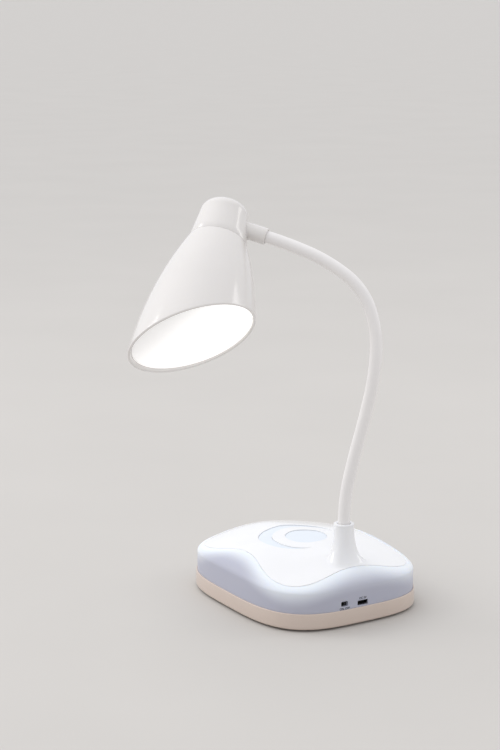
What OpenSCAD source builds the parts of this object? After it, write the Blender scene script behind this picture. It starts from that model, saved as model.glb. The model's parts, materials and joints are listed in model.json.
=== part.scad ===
// Cordless desk lamp: a rounded base with a frosted night-light ring and a touch pad,
// a bendable neck, and a bell-shaped head with an obliquely cut mouth.
// Millimetres, +Z up. The origin is the middle of the base on the table.
// The front is -Y. The neck, the switch and the charging socket are at the back, +Y.

/* [Base] */
// Width of the base, across X
base_w = 121; // [110:1:140]
// Depth of the base, along Y
base_d = 143; // [134:1:160]
// Squareness of the base's outline, 2 is an ellipse
base_square = 3.4; // [3:0.1:4.5]
// Thickness of the rubber feet that shows under the pan
foot_h = 1.2; // [0.8:0.1:2.5]
// Height of the pan's rim above the table
rim_z = 11; // [10:0.5:13]
// Height at which the ring's upright wall starts to round over
shoulder_z = 24.5; // [22:0.5:28]
// Height of the cover's crown
crown_z = 41.3; // [38:0.1:48]
// How far the crown stays flat before it falls away
crown_flat = 2.2; // [2:0.1:2.8]
// How sharply the crown turns down into the wall
crown_turn = 2.3; // [1.8:0.05:2.5]
// How much lower the crown lies towards the corners
crown_corner = 0.48; // [0.3:0.02:0.6]
// How far the ring stands in from the pan's rim
ring_inset = 0.9; // [0.6:0.1:1.5]
// Wall of the pan, the ring and the cover
wall = 2; // [1.6:0.1:2.6]

/* [Wave edge] */
// Cover's reach at the middle of the left and right sides, as a share of the outline
wave_left = 0.75; // [0.68:0.01:0.82]
// Cover's reach at the middle of the front and back
wave_front = 0.83; // [0.76:0.01:0.87]
// Cover's reach at the corners
wave_corner = 0.94; // [0.9:0.01:0.96]

/* [Touch pad] */
// Radius of the touch pad
pad_r = 14; // [11:0.5:16]
// Distance of the pad's centre behind the middle of the base
pad_y = 2.6; // [0:0.2:5]
// Inner radius of the crescent round the pad
crescent_in = 22.7; // [20:0.1:24]
// Outer radius of the crescent
crescent_out = 26.4; // [25:0.1:29]
// How far the crescent's outer circle is set off from the pad
crescent_off = 6; // [5:0.1:7]
// Direction of the crescent's broad side, from +X
crescent_dir = -55; // [-90:1:-30]
// Depth of the two inlays
inlay_t = 0.8; // [0.6:0.1:1]

/* [Neck] */
// Diameter of the neck's sleeve
neck_d = 7.8; // [7:0.1:9]
// Distance of the neck's foot from the back edge of the base
neck_back = 24.5; // [23:0.1:27]
// Height of the socket that holds the neck's foot
socket_z = 61.4; // [56:0.2:68]
// Outer diameter of the socket at its lip
socket_d = 13.4; // [12.6:0.1:16]
// Direction that the neck leans over, turned from the front towards +X
neck_turn = 45; // [0:1:60]
// Length of one link of the neck
link_l = 28.1; // [24:0.1:32]
// Diameter of the bendable steel core
core_d = 5; // [4.6:0.1:5.4]
// Bore of the core
core_bore = 2.6; // [2:0.1:3]

/* [Head] */
// Radius of the head at the seam between cap and shade
seam_r = 18.5; // [17.5:0.1:21]
// Slope of the shade just below the seam
shade_slope = 23; // [19:0.5:26]
// Radius of the shade's long bell curve
shade_arc = 248; // [220:1:300]
// Distance from the seam to the mouth along the head's middle
shade_l = 70.4; // [64:0.2:78]
// Angle between the mouth and a square cut
mouth_tilt = 28.8; // [22:0.2:32]
// Wall of the cap and the shade
head_wall = 1.8; // [1.4:0.1:2.2]
// Height of the cap above the seam
cap_h = 28; // [26:0.5:32]
// Radius of the cap below its rounded top
cap_r = 15.6; // [14.6:0.1:16.6]
// Radius of the cap's rounded edge
cap_round = 8; // [6:0.5:9]
// Height of the neck's stub above the seam
stub_up = 11.9; // [11:0.1:13]
// Length of the stub outside the head
stub_l = 11; // [9:0.5:13]
// Diameter of the stub
stub_d = 10.8; // [10.4:0.1:12]
// Lean of the head on its stub, from square
head_lean = 9.5; // [4:0.5:14]
// Turn of the head about its stub
head_turn = 42; // [0:1:60]
// How far the diffuser lies inside the mouth
diffuser_in = 1.5; // [1:0.1:2.5]
// Thickness of the diffuser
diffuser_t = 1.6; // [1.2:0.1:2]

/* [Inside] */
// Length of the battery cell
cell_l = 65; // [60:1:70]
// Diameter of the battery cell
cell_d = 18.4; // [17:0.1:19]
// Thickness of the ballast plate
ballast_t = 5; // [4:0.5:6]
// Thickness of every circuit board
board_t = 1.6; // [1:0.1:2]
// Distance of the switch from the middle of the back
switch_x = 15; // [13:0.5:18]
// Distance of the charging socket from the middle of the back
usb_x = 1; // [-1:0.5:3]
// Travel of the switch
switch_travel = 2; // [1.6:0.1:2.4]

/* [Hidden] */

$fn = 64;
hair = 0.01;
// Clearances: seated parts, parts that slip together, and the running fit of a shaft
seat = 0.1;
slip = 0.2;
run = 0.05;

// ---- outline and crown of the base ----
half_w = base_w / 2;
half_d = base_d / 2;
neck_y = half_d - neck_back;
steps = 96;
levels = 9;
pan_z = foot_h;
floor_z = pan_z + wall;
ledge_z = rim_z - 3;
rebate = 0.8;
cover_t = 1.8;
ledge_w = 0.1;
ledge_t = 1.2;
wave_lobe = 1.37;

function outline(a) =
    1 / pow(pow(abs(cos(a)), base_square) + pow(abs(sin(a)), base_square), 1 / base_square);
// Points of the base's outline, drawn in by a distance and scaled by a share
function outline_points(inset, share = 1) =
    [for (i = [0:steps - 1]) let (a = i * 360 / steps, r = outline(a) * share)
        [(half_w - inset) * r * cos(a), (half_d - inset) * r * sin(a)]];
// How near an angle is to a corner's: 0 at the middle of a side, 1 at a corner
function cornered(a) = 0.5 - 0.5 * cos(4 * a);
// Height of the crown at a share of the outline, lowered by a depth
function crown(a, share, depth) =
    shoulder_z + (crown_z - depth - shoulder_z)
    * pow(max(0, 1 - pow(share, crown_flat)), 1 / crown_turn)
    * (1 - crown_corner * cornered(a) * share * share);
function crown_point(a, share, depth) =
    let (r = outline(a) * share, inset = ring_inset + depth)
    [(half_w - inset) * r * cos(a), (half_d - inset) * r * sin(a), crown(a, share, depth)];
// Share of the outline that the cover reaches, in waves from side to corner
function wave(a) =
    let (side = wave_left * pow(cos(a), 2) + wave_front * pow(sin(a), 2),
         lobe = pow(cornered(a), wave_lobe))
    side + (wave_corner - side) * lobe;
// Shares of the outline at which a surface is laid out, closer together near its edge
function share_at(i, n, from, to) = from + (to - from) * (1 - pow(1 - i / n, 1.6));
// Where the ring's inner wall stands at a distance from the middle of the back
function wall_at(x) = (half_d - ring_inset - wall)
    * pow(1 - pow(abs(x) / (half_w - ring_inset - wall), base_square), 1 / base_square);
// Share of the outline of a point on the base
function share_of(x, y) =
    pow(pow(abs(x) / (half_w - ring_inset), base_square)
        + pow(abs(y) / (half_d - ring_inset), base_square), 1 / base_square);
// Height of the crown at a point on the base
function crown_at(x, y) =
    crown(atan2(y / (half_d - ring_inset), x / (half_w - ring_inset)), share_of(x, y), 0);

// A closed band swept round the base: section(a) gives as many points at every angle
module swept(sections) {
    n = len(sections);
    m = len(sections[0]);
    faces = [for (i = [0:n - 1]) for (j = [0:m - 1])
        let (p = i * m + j, q = i * m + (j + 1) % m,
             s = ((i + 1) % n) * m + j, t = ((i + 1) % n) * m + (j + 1) % m)
        each [[p, q, s], [q, t, s]]];
    polyhedron([for (s = sections) each s], faces, convexity = 8);
}

// A domed solid: rings of points from the rim to near the middle, then the other face
module domed(rings, top, bottom) {
    n = len(rings);
    m = len(rings[0]);
    last = n * m;
    sides = [for (i = [0:n - 2]) for (j = [0:m - 1])
        let (p = i * m + j, q = i * m + (j + 1) % m, s = p + m, t = q + m)
        each [[p, q, s], [q, t, s]]];
    caps = [for (j = [0:m - 1]) each
        [[last, (j + 1) % m, j], [last + 1, (n - 1) * m + j, (n - 1) * m + (j + 1) % m]]];
    polyhedron(concat([for (r = rings) each r], [top, bottom]), concat(sides, caps),
        convexity = 8);
}

// A skin of the crown between two depths, out to a share of the outline
module crown_skin(high, low, reach) {
    rings = [for (depth = [high, low]) each
        [for (i = depth == high ? [1:levels] : [levels:-1:1])
            [for (s = [0:steps - 1]) let (a = s * 360 / steps)
                crown_point(a, share_at(i, levels, 0, reach ? reach : wave(a)), depth)]]];
    domed(rings, [0, 0, crown_z - high], [0, 0, crown_z - low]);
}

// ---- places that several pieces share ----
post_in = 14.5;
post_x = (half_w - post_in) * outline(45) * cos(45);
post_y = (half_d - post_in) * outline(45) * sin(45);
post_r = 3.4;
screw_r = 1.5;
head_r = 2.9;
head_t = 1.8;
post_z = 12;
foot_r = 6.5;
mid_foot_r = 9;
foot_in = 0.6;

ballast_w = 2 * post_x;
ballast_d = 72;
ballast_y = -6;
ballast_top = floor_z + ballast_t;

cradle_t = 1.5;
cell_y = -26;
cell_z = ballast_top + cradle_t + cell_d / 2;

port_z = 13.3;
port_w = 34;
port_d = 20;
port_mid = 9;
wall_in = half_d - ring_inset - wall;
port_back = wall_in - 0.6;
port_edge = ring_inset + wall + 0.4;
port_screw_x = 13;
port_screw_y = port_back - port_d + 4;

usb_w = 7.5;
usb_h = 2.6;
usb_l = 5.6;
usb_mid = port_z + usb_h / 2;
switch_w = 9;
switch_h = 4;
switch_l = 4;
switch_mid = port_z + switch_h / 2 + 0.6;
switch_back = wall_at(switch_x + switch_w / 2) - slip;
switch_deep = 2.4;
slot_w = 5.2;
slot_h = 3.4;
knob_w = 2.6;
knob_h = 2.6;
knob_l = 3.5;

board_w = 46;
board_d = 36;
board_y = 7;
board_z = 31;
board_hole_x = 19;
board_hole_y = 14;
boss_r = 2.6;
pin_r = 1;

glow_z = 12;
glow_out = 9;
glow_w = 6;
glow_end = 30;
glow_post_x = half_w - 12.5;

module board_holes(points, r = pin_r + slip, t = board_t) {
    for (p = points) translate([p.x, p.y, -t]) cylinder(h = 3 * t, r = r);
}
function four(x, y) = [[x, y], [-x, y], [x, -y], [-x, -y]];
board_holes_at = [for (p = four(board_hole_x, board_hole_y)) [p.x, p.y + board_y]];
port_holes_at = [for (s = [-1, 1]) [port_mid + s * port_screw_x, port_screw_y]];
ballast_holes_at = [for (s = [-1, 1]) [s * (ballast_w / 2 - 7), ballast_y]];
glow_holes_at = [[glow_post_x, 0], [-glow_post_x, 0], [0, -(half_d - 12.5)]];

// A pan-head screw standing on its head's upper face, pointing up
module screw(l, r = screw_r, hr = head_r, ht = head_t) {
    union() {
        translate([0, 0, -ht]) cylinder(h = ht, r = hr);
        cylinder(h = l, r = r);
    }
}

// ---- base: pan, feet and ballast ----
module base_pan() color("#cdbfb4") difference() {
    union() {
        difference() {
            translate([0, 0, pan_z]) linear_extrude(rim_z - pan_z) polygon(outline_points(0));
            translate([0, 0, floor_z]) linear_extrude(rim_z)
                polygon(outline_points(ring_inset + wall));
            translate([0, 0, ledge_z]) linear_extrude(rim_z)
                polygon(outline_points(rebate));
        }
        for (p = four(post_x, post_y)) translate([p.x, p.y, floor_z - hair])
            cylinder(h = post_z - floor_z, r = post_r + 1.2);
        for (p = port_holes_at) translate([p.x, p.y, floor_z - hair])
            cylinder(h = port_z - board_t - floor_z, r = boss_r);
        for (p = ballast_holes_at) translate([p.x, p.y, floor_z - hair])
            cylinder(h = ballast_t, r = boss_r);
        for (p = glow_holes_at) translate([p.x, p.y, floor_z - hair])
            cylinder(h = glow_z - floor_z, r = boss_r);
    }
    cylinder(h = pan_z + foot_in, r = mid_foot_r + seat);
    for (p = four(post_x, post_y)) translate([p.x, p.y, 0]) {
        cylinder(h = pan_z + foot_in, r = foot_r + seat);
        cylinder(h = post_z - 4, r = head_r + slip);
        cylinder(h = post_z + 1, r = screw_r + slip);
    }
    for (p = port_holes_at) translate([p.x, p.y, floor_z + 2]) cylinder(h = rim_z, r = pin_r);
    for (p = ballast_holes_at) translate([p.x, p.y, floor_z]) cylinder(h = rim_z, r = pin_r);
    for (p = glow_holes_at) translate([p.x, p.y, floor_z + 2]) cylinder(h = rim_z, r = pin_r);
}

// One foot at each corner and a broader one in the middle, under the ballast
module rubber_feet() color("#4a4a4c") {
    for (p = four(post_x, post_y)) translate([p.x, p.y, 0])
        cylinder(h = pan_z + foot_in, r = foot_r);
    cylinder(h = pan_z + foot_in, r = mid_foot_r);
}

module case_screws() color("silver") for (p = four(post_x, post_y))
    translate([p.x, p.y, post_z - 4]) screw(12);

module ballast_plate() color("slategray")
    translate([0, ballast_y, floor_z]) difference() {
        translate([-ballast_w / 2, -ballast_d / 2, 0]) cube([ballast_w, ballast_d, ballast_t]);
        for (p = ballast_holes_at) translate([p.x, 0, -1])
            cylinder(h = ballast_t + 2, r = boss_r + slip);
        for (sx = [-1, 1]) for (sy = [-1, 1])
            translate([sx * post_x, sy * post_y - ballast_y, -1])
                cylinder(h = ballast_t + 2, r = post_r + 2.6);
    }

module ballast_screws() color("silver") for (p = ballast_holes_at)
    translate([p.x, p.y, ballast_top]) rotate([180, 0, 0]) screw(4, pin_r - run, head_r + 1, 1.4);

// ---- base: battery ----
module battery_cell() color("#4f7fb5") translate([-cell_l / 2, cell_y, cell_z])
    rotate([0, 90, 0]) union() {
        cylinder(h = cell_l, r = cell_d / 2);
        translate([0, 0, cell_l - hair]) cylinder(h = 1, r = 3);
    }

module battery_cradle() color("#3a3a3c") {
    in_l = cell_l + 3;
    translate([0, cell_y, ballast_top]) difference() {
        translate([-in_l / 2 - cradle_t, -cell_d / 2 - cradle_t, 0])
            cube([in_l + 2 * cradle_t, cell_d + 2 * cradle_t, cell_d * 0.62]);
        translate([-in_l / 2, 0, cradle_t + cell_d / 2]) rotate([0, 90, 0])
            cylinder(h = in_l, r = cell_d / 2 + seat);
        translate([-in_l / 2, -cell_d / 2 - seat, cradle_t + cell_d / 2])
            cube([in_l, cell_d + 2 * seat, cell_d]);
    }
}

// ---- base: sockets at the back ----
module port_board() color("#2f6b46")
    translate([0, 0, port_z - board_t]) difference() {
        linear_extrude(board_t) intersection() {
            translate([port_mid - port_w / 2, port_back - port_d]) square([port_w, port_d]);
            polygon(outline_points(port_edge));
        }
        board_holes(port_holes_at);
    }

module usb_socket() color("silver")
    translate([usb_x, wall_in - usb_l + 1.2, usb_mid]) difference() {
        translate([-usb_w / 2, 0, -usb_h / 2]) cube([usb_w, usb_l, usb_h]);
        translate([-usb_w / 2 + 0.4, 1, -usb_h / 2 + 0.4]) cube([usb_w - 0.8, usb_l, usb_h - 0.8]);
    }

module switch_body() color("#8a8d90")
    translate([switch_x, switch_back - switch_l, switch_mid]) difference() {
        translate([-switch_w / 2, 0, port_z - switch_mid]) cube([switch_w, switch_l, switch_h + 0.6]);
        translate([-(knob_w + switch_travel) / 2 - slip, switch_l - switch_deep, -knob_h / 2 - slip])
            cube([knob_w + switch_travel + 2 * slip, 3, knob_h + 2 * slip]);
    }

// The knob rests at the near end of its slot and slides towards -X
module switch_knob() color("#1b1b1d")
    translate([switch_x + switch_travel / 2 - knob_w / 2, switch_back - switch_deep + slip,
        switch_mid - knob_h / 2])
        union() {
            cube([knob_w, knob_l, knob_h]);
            translate([knob_w / 2 - 0.35, knob_l - hair, 0.3]) cube([0.7, 0.5, knob_h - 0.6]);
        }

module port_screws() color("silver") for (p = port_holes_at)
    translate([p.x, p.y, port_z]) rotate([180, 0, 0]) screw(6, pin_r - run, 2, 1.2);

// ---- base: night light ----
module glow_board() color("#e8e6df")
    translate([0, 0, glow_z]) difference() {
        linear_extrude(board_t) difference() {
            polygon(outline_points(glow_out));
            polygon(outline_points(glow_out + glow_w));
            translate([-half_w, glow_end]) square([base_w, half_d]);
        }
        board_holes(glow_holes_at);
        for (p = four(post_x, post_y)) translate([p.x, p.y, -1])
            cylinder(h = board_t + 2, r = post_r + 2);
    }

glow_led = [3, 3, 1.4];
glow_led_angles = [for (a = [-162:18:-18]) if (a != -90) a];
module glow_leds() color("#fff3b0") for (a = glow_led_angles) {
    r = outline(a);
    inset = glow_out + glow_w / 2;
    translate([(half_w - inset) * r * cos(a), (half_d - inset) * r * sin(a), glow_z + board_t])
        translate([-glow_led.x / 2, -glow_led.y / 2, 0]) cube(glow_led);
}

module glow_screws() color("silver") for (p = glow_holes_at)
    translate([p.x, p.y, glow_z + board_t]) rotate([180, 0, 0]) screw(6, pin_r - run, 2, 1.2);

// Section of the ring at one angle: wall, crown down to the wave edge, and the ledge under
// the cover
function ring_section(a) =
    let (edge = wave(a) + seat / half_w, tuck = wave(a) - ledge_w,
         under = cover_t + seat, inner = under + ledge_t)
    concat(
        [let (p = crown_point(a, 1, 0)) [p.x, p.y, ledge_z]],
        [for (i = [0:5]) crown_point(a, 1 - (1 - edge) * pow(i / 5, 1.6), 0)],
        [crown_point(a, edge, under), crown_point(a, tuck, under), crown_point(a, tuck, inner)],
        [for (i = [0:4]) crown_point(a, tuck + (1 - tuck) * (1 - pow(1 - i / 4, 1.6)),
            i < 3 ? inner : wall)],
        [let (p = crown_point(a, 1, wall)) [p.x, p.y, ledge_z]]);

module light_ring() color("#dfe6f2") difference() {
    swept([for (i = [0:steps - 1]) ring_section(i * 360 / steps)]);
    translate([usb_x - usb_w / 2 - slip, wall_in - 3, usb_mid - usb_h / 2 - slip])
        cube([usb_w + 2 * slip, wall + 6, usb_h + 2 * slip]);
    translate([switch_x - slot_w / 2, wall_in - 3, switch_mid - slot_h / 2])
        cube([slot_w, wall + 6, slot_h]);
    translate([0, neck_y, boss_z - 1]) cylinder(h = crown_z, r = tube_r + seat);
    for (p = four(post_x, post_y)) translate([p.x, p.y, ledge_z])
        cylinder(h = crown_z, r = post_r + seat);
}

// ---- base: cover, neck socket and inlays ----
neck_r = neck_d / 2;
core_r = core_d / 2;
socket_r = socket_d / 2;
socket_bore = neck_r + 0.3;
stem_r = 3.2;
step_z = socket_z - 15;
boss_z = crown_z - 11.3;
lip_t = 1.3;
tube_r = socket_r - 0.15;
flare_w = 7;
flare_lean = 0.6;
flare_top = socket_z - lip_t - 1.5;
flare_back = wave_front * (half_d - ring_inset) - neck_y - tube_r - 0.25;
flare_steps = 40;
flare_levels = 8;
flare_sunk = 0.15;
flare_root = 1.2;

// Profile of the socket: a straight tube with a raised lip
module socket_profile() polygon([
    [0, boss_z], [tube_r, boss_z], [tube_r, socket_z - lip_t],
    [socket_r, socket_z - lip_t * 0.7], [socket_r, socket_z - 0.4],
    [socket_r - 0.4, socket_z], [0, socket_z]]);

// Width of the flare round the socket: broader towards the back, but short of the cover's edge
function flare_width(a) =
    let (free = flare_w * (1 + flare_lean * sin(a)),
         room = (tube_r + flare_back) / max(sin(a), hair) - tube_r)
    pow(pow(free, -4) + pow(room, -4), -1 / 4);
// A point round the socket, a height above the crown
function round_socket(a, r, up) =
    let (x = r * cos(a), y = neck_y + r * sin(a))
    [x, y, crown_at(x, y) + up];
// Height from the crown up to the flare's top
function flare_height(a) = flare_top - round_socket(a, tube_r, 0).z;
function flare_ring(i) = [for (s = [0:flare_steps - 1])
    let (a = s * 360 / flare_steps, b = 90 * i / flare_levels)
    round_socket(a, tube_r - seat + flare_width(a) * (1 - cos(b)),
        flare_height(a) * (1 - sin(b)) - flare_sunk)];
// Rings of the flare's floor inside the cover, drawn in like the cover's edge
function flare_floor(outer) = [for (s = [0:flare_steps - 1])
    let (a = s * 360 / flare_steps)
    round_socket(a, tube_r - seat + (outer ? flare_width(a) - flare_root : -seat), -flare_root)];
// Concave flare from the socket into the crown
module flare() {
    rings = concat([for (i = [0:flare_levels]) flare_ring(i)],
        [flare_floor(true), flare_floor(false)]);
    domed(rings, [0, neck_y, step_z + 4], [0, neck_y, crown_z - 7]);
}

module crescent_shape(gap) difference() {
    translate([crescent_off * cos(crescent_dir), pad_y + crescent_off * sin(crescent_dir)])
        circle(r = crescent_out - gap);
    translate([0, pad_y]) circle(r = crescent_in + gap);
}

// Height at which a post's flat top stays inside the cover all round
function post_top(x, y, r) = crown_at(abs(x) + 0.7 * r, abs(y) + 0.7 * r) - 0.5;

module top_cover() color("#f7f7f8") difference() {
    union() {
        crown_skin(0, cover_t);
        flare();
        translate([0, neck_y, 0]) rotate_extrude() socket_profile();
        for (p = four(post_x, post_y)) translate([p.x, p.y, post_z])
            cylinder(h = post_top(p.x, p.y, post_r) - post_z, r = post_r);
        for (p = board_holes_at) translate([p.x, p.y, board_z])
            cylinder(h = post_top(p.x, p.y, boss_r) - board_z, r = boss_r);
    }
    translate([0, neck_y, step_z]) cylinder(h = socket_z, r = socket_bore);
    translate([0, neck_y, boss_z - 1]) cylinder(h = socket_z, r = stem_r + slip);
    translate([0, pad_y, crown_z - inlay_t - 0.2]) cylinder(h = 5, r = pad_r + seat);
    intersection() {
        translate([0, 0, crown_z - 6]) linear_extrude(8) crescent_shape(0);
        crown_skin(-2, inlay_t, 0.66);
    }
    for (p = four(post_x, post_y)) translate([p.x, p.y, post_z - 1])
        cylinder(h = 10, r = screw_r + run);
    for (p = board_holes_at) translate([p.x, p.y, board_z - 1]) cylinder(h = 6, r = pin_r);
}

module touch_pad() color("#dce8f6")
    translate([0, pad_y, crown_z - inlay_t - 0.2]) cylinder(h = inlay_t, r = pad_r);

module crescent_inlay() color("#dce8f6") intersection() {
    translate([0, 0, crown_z - 6]) linear_extrude(8) crescent_shape(seat);
    crown_skin(0, inlay_t, 0.66);
}

module main_board() color("#2f6b46")
    translate([0, 0, board_z - board_t]) difference() {
        translate([-board_w / 2, board_y - board_d / 2, 0]) cube([board_w, board_d, board_t]);
        board_holes(board_holes_at);
    }

chips = [[-8, 16, 8, 6, 1.2], [10, 15, 5, 5, 1], [-10, -5, 6, 6, 2.4], [11, -4, 4, 7, 1.6]];
module main_chips() color("#202226") for (c = chips)
    translate([c[0] - c[2] / 2, c[1] - c[3] / 2, board_z]) cube([c[2], c[3], c[4]]);

module board_screws() color("silver") for (p = board_holes_at)
    translate([p.x, p.y, board_z - board_t]) screw(5.5, pin_r - run, 2, 1.2);

// Coil that carries the touch from the cover to the board
spring_r = 2.4;
spring_wire = 0.45;
spring_turns = 5;
spring_h = crown_z - inlay_t - 0.2 - 1.2 - board_z;
spring_sides = 6;
spring_steps = 16;
module touch_spring() color("goldenrod") {
    n = spring_turns * spring_steps;
    rise = (spring_h - 2 * spring_wire) / n;
    rings = [for (i = [0:n]) let (a = i * 360 / spring_steps)
        [for (s = [0:spring_sides - 1]) let (b = s * 360 / spring_sides,
            r = spring_r + spring_wire * cos(b))
            [r * cos(a), r * sin(a), spring_wire + i * rise + spring_wire * sin(b)]]];
    translate([0, pad_y, board_z]) tube_of(rings);
}

// ---- leads: round wires with their corners softened ----
lead_r = 0.6;
lead_gap = 0.3;
lead_sides = 10;
function unit(v) = v / norm(v);
// Each corner of a route becomes a short curve
function softened(points) = [for (i = [0:len(points) - 1])
    each i == 0 || i == len(points) - 1 ? [points[i]]
        : let (p = points[i], a = p + 0.35 * (points[i - 1] - p),
               b = p + 0.35 * (points[i + 1] - p))
          [for (t = [0:0.25:1]) (1 - t) * (1 - t) * a + 2 * t * (1 - t) * p + t * t * b]];
// The rings of a tube: each one is the last one carried on to the next mitre
function tube_rings(points, ring, i) = i == len(points) ? [] :
    let (d = unit(points[i] - points[i - 1]),
         n = i == len(points) - 1 ? d : d + unit(points[i + 1] - points[i]),
         here = [for (q = ring) q + d * ((points[i] - q) * n) / (d * n)])
    concat([here], tube_rings(points, here, i + 1));
// A closed tube through rings of points
module tube_of(rings) {
    n = len(rings) - 1;
    m = len(rings[0]);
    polyhedron([for (r = rings) each r], concat(
        [[for (s = [0:m - 1]) s]],
        [for (i = [0:n - 1]) for (s = [0:m - 1]) let (p = i * m + s, q = i * m + (s + 1) % m)
            each [[p, p + m, q], [q, p + m, q + m]]],
        [[for (s = [m - 1:-1:0]) n * m + s]]), convexity = 10);
}
module lead(route, r = lead_r) {
    points = softened(route);
    d = unit(points[1] - points[0]);
    side = unit(cross(d, abs(d.z) < 0.9 ? [0, 0, 1] : [1, 0, 0]));
    up = cross(d, side);
    first = [for (s = [0:lead_sides - 1]) let (b = s * 360 / lead_sides)
        points[0] + r * (cos(b) * side + sin(b) * up)];
    tube_of(concat([first], tube_rings(points, first, 1)));
}

module battery_leads() color("firebrick") for (s = [-1, 1]) {
    x_end = s * (cell_l / 2 + lead_r + seat);
    x_in = s * (board_hole_x - boss_r - lead_r - lead_gap);
    y_in = board_y - board_d / 2 + 3;
    lead([[x_end, cell_y, cell_z + 5], [x_end, cell_y, cell_z + cell_d / 2 + 2.5],
        [x_in, cell_y + 12, board_z + 2.5], [x_in, y_in, board_z + 2.5], [x_in, y_in, board_z]]);
}

module port_leads() color("#d8d8d8") for (s = [-1, 1]) {
    x = port_mid + 4 + s * 4;
    x_in = port_mid + s * 2.5;
    y_in = board_y + board_d / 2 - 2.5;
    lead([[x, port_back - port_d + 4, port_z], [x, port_back - port_d + 4, port_z + 4],
        [x_in, y_in + 6, board_z + 3], [x_in, y_in, board_z + 3], [x_in, y_in, board_z]]);
}

// ---- neck: foot, links and end ----
// Bend of each link, in degrees, towards the head
bends = [-11.5, -3, 2.5, 9, 21, 35.5, 15, 6];
links = len(bends);
joint_z = socket_z + 1.6;
ball_r = neck_r - 0.05;
cup_r = neck_r + 0.15;
sleeve_bore = core_r + run;
lap = 0.8;
step = 0.12;
ferrule_l = 9;
foot_z = step_z + ferrule_l;

// Heading of the neck from upright, and its place in the plane it leans in, at a joint
function heading(k) = k == 0 ? 0 : heading(k - 1) + bends[k - 1];
function place(k) = k == 0 ? [0, joint_z]
    : let (b = bends[k - 1], half = b / 2, h = heading(k - 1) + half,
           chord = link_l * sin(half) / (half * PI / 180))
      place(k - 1) + chord * [sin(h), cos(h)];

// Puts what follows at a joint, with +Z along the neck and +X on the side it leans to
module at_joint(k) {
    p = place(k);
    translate([0, neck_y, 0]) rotate([0, 0, neck_turn - 90])
        translate([p.x, 0, p.y]) rotate([0, heading(k), 0]) children();
}

// A bent rod from the origin along +Z, bending towards +X
module bent_rod(r, l, bend) {
    arc = l / (abs(bend) * PI / 180);
    mirror([bend < 0 ? 1 : 0, 0, 0]) translate([arc, 0, 0]) rotate([90, 0, 0])
        rotate([0, 0, 180 - abs(bend)]) rotate_extrude(angle = abs(bend), $fn = 180)
            translate([arc, 0]) circle(r = r, $fn = 48);
}

module at_link_end(l, bend) {
    half = bend / 2;
    chord = l * sin(half) / (half * PI / 180);
    translate([chord * sin(half), 0, chord * cos(half)]) rotate([0, bend, 0]) children();
}

module sleeve_link(k) color("#f4f3f1") at_joint(k - 1) {
    bend = bends[k - 1];
    tail = k == links ? tail_l : 0;
    difference() {
        union() {
            bent_rod(neck_r, link_l, bend);
            sphere(r = ball_r);
            if (tail > 0) at_link_end(link_l, bend)
                translate([0, 0, -lap]) cylinder(h = tail + lap, r = neck_r - step);
        }
        bent_rod(sleeve_bore, link_l, bend);
        translate([0, 0, -neck_r - 1]) cylinder(h = neck_r + 1 + lap, r = sleeve_bore + step);
        at_link_end(link_l, bend) {
            if (tail > 0) translate([0, 0, -lap]) cylinder(h = tail + 2, r = sleeve_bore + step);
            else sphere(r = cup_r);
        }
    }
}

module core_link(k) color("#8f9296") at_joint(k - 1) {
    bend = bends[k - 1];
    tail = k == links ? tail_l + 4 : 0;
    below = sqrt(pow(ball_r, 2) - pow(core_r, 2)) - 0.05;
    difference() {
        union() {
            bent_rod(core_r, link_l, bend);
            translate([0, 0, -below]) cylinder(h = below + lap, r = core_r - step);
            if (tail > 0) at_link_end(link_l, bend)
                translate([0, 0, -lap]) cylinder(h = tail + lap, r = core_r - step);
        }
        bent_rod(core_bore / 2, link_l, bend);
        translate([0, 0, -neck_r]) cylinder(h = neck_r + lap, r = core_bore / 2 + step);
        at_link_end(link_l, bend) {
            if (tail > 0) translate([0, 0, -lap]) cylinder(h = tail + 2, r = core_bore / 2 + step);
            else sphere(r = cup_r);
        }
    }
}

module sleeve_foot() color("#f4f3f1") translate([0, neck_y, 0]) difference() {
    translate([0, 0, foot_z]) cylinder(h = joint_z - foot_z, r = neck_r);
    translate([0, 0, foot_z - 1]) cylinder(h = joint_z, r = sleeve_bore);
    translate([0, 0, joint_z]) sphere(r = cup_r);
}

module core_foot() color("#8f9296") translate([0, neck_y, 0]) difference() {
    translate([0, 0, step_z + 1.5]) cylinder(h = joint_z - step_z - 1.5, r = core_r);
    translate([0, 0, step_z]) cylinder(h = joint_z, r = core_bore / 2);
    translate([0, 0, joint_z]) sphere(r = cup_r);
}

nut_h = 4;
nut_r = 6.5;
washer_t = 0.8;
stem_end = boss_z - washer_t - nut_h - 2;
module neck_ferrule() color("#b9a15c") translate([0, neck_y, 0]) difference() {
    union() {
        translate([0, 0, stem_end]) cylinder(h = step_z - stem_end + hair, r = stem_r);
        translate([0, 0, step_z]) cylinder(h = ferrule_l, r = socket_bore - run);
    }
    translate([0, 0, step_z + 1.5]) cylinder(h = ferrule_l, r = core_r + run);
    translate([0, 0, stem_end - 1]) cylinder(h = socket_z, r = core_bore / 2);
}

module neck_washer() color("silver") translate([0, neck_y, boss_z - washer_t]) difference() {
    cylinder(h = washer_t, r = nut_r);
    translate([0, 0, -1]) cylinder(h = washer_t + 2, r = stem_r + run);
}

module neck_locknut() color("#b9a15c")
    translate([0, neck_y, boss_z - washer_t - nut_h]) difference() {
        cylinder(h = nut_h, r = nut_r, $fn = 6);
        translate([0, 0, -1]) cylinder(h = nut_h + 2, r = stem_r + run);
    }

// End of the neck in the head: measured along the stub from its mouth
tail_l = 5;
end_l = 7;
web_at = tail_l + end_l + 0.3;
web_t = 3;
clip_t = 0.8;
end_stem = 3.1;
swivel_t = 0.6;
swivel_r = 4.9;

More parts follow.
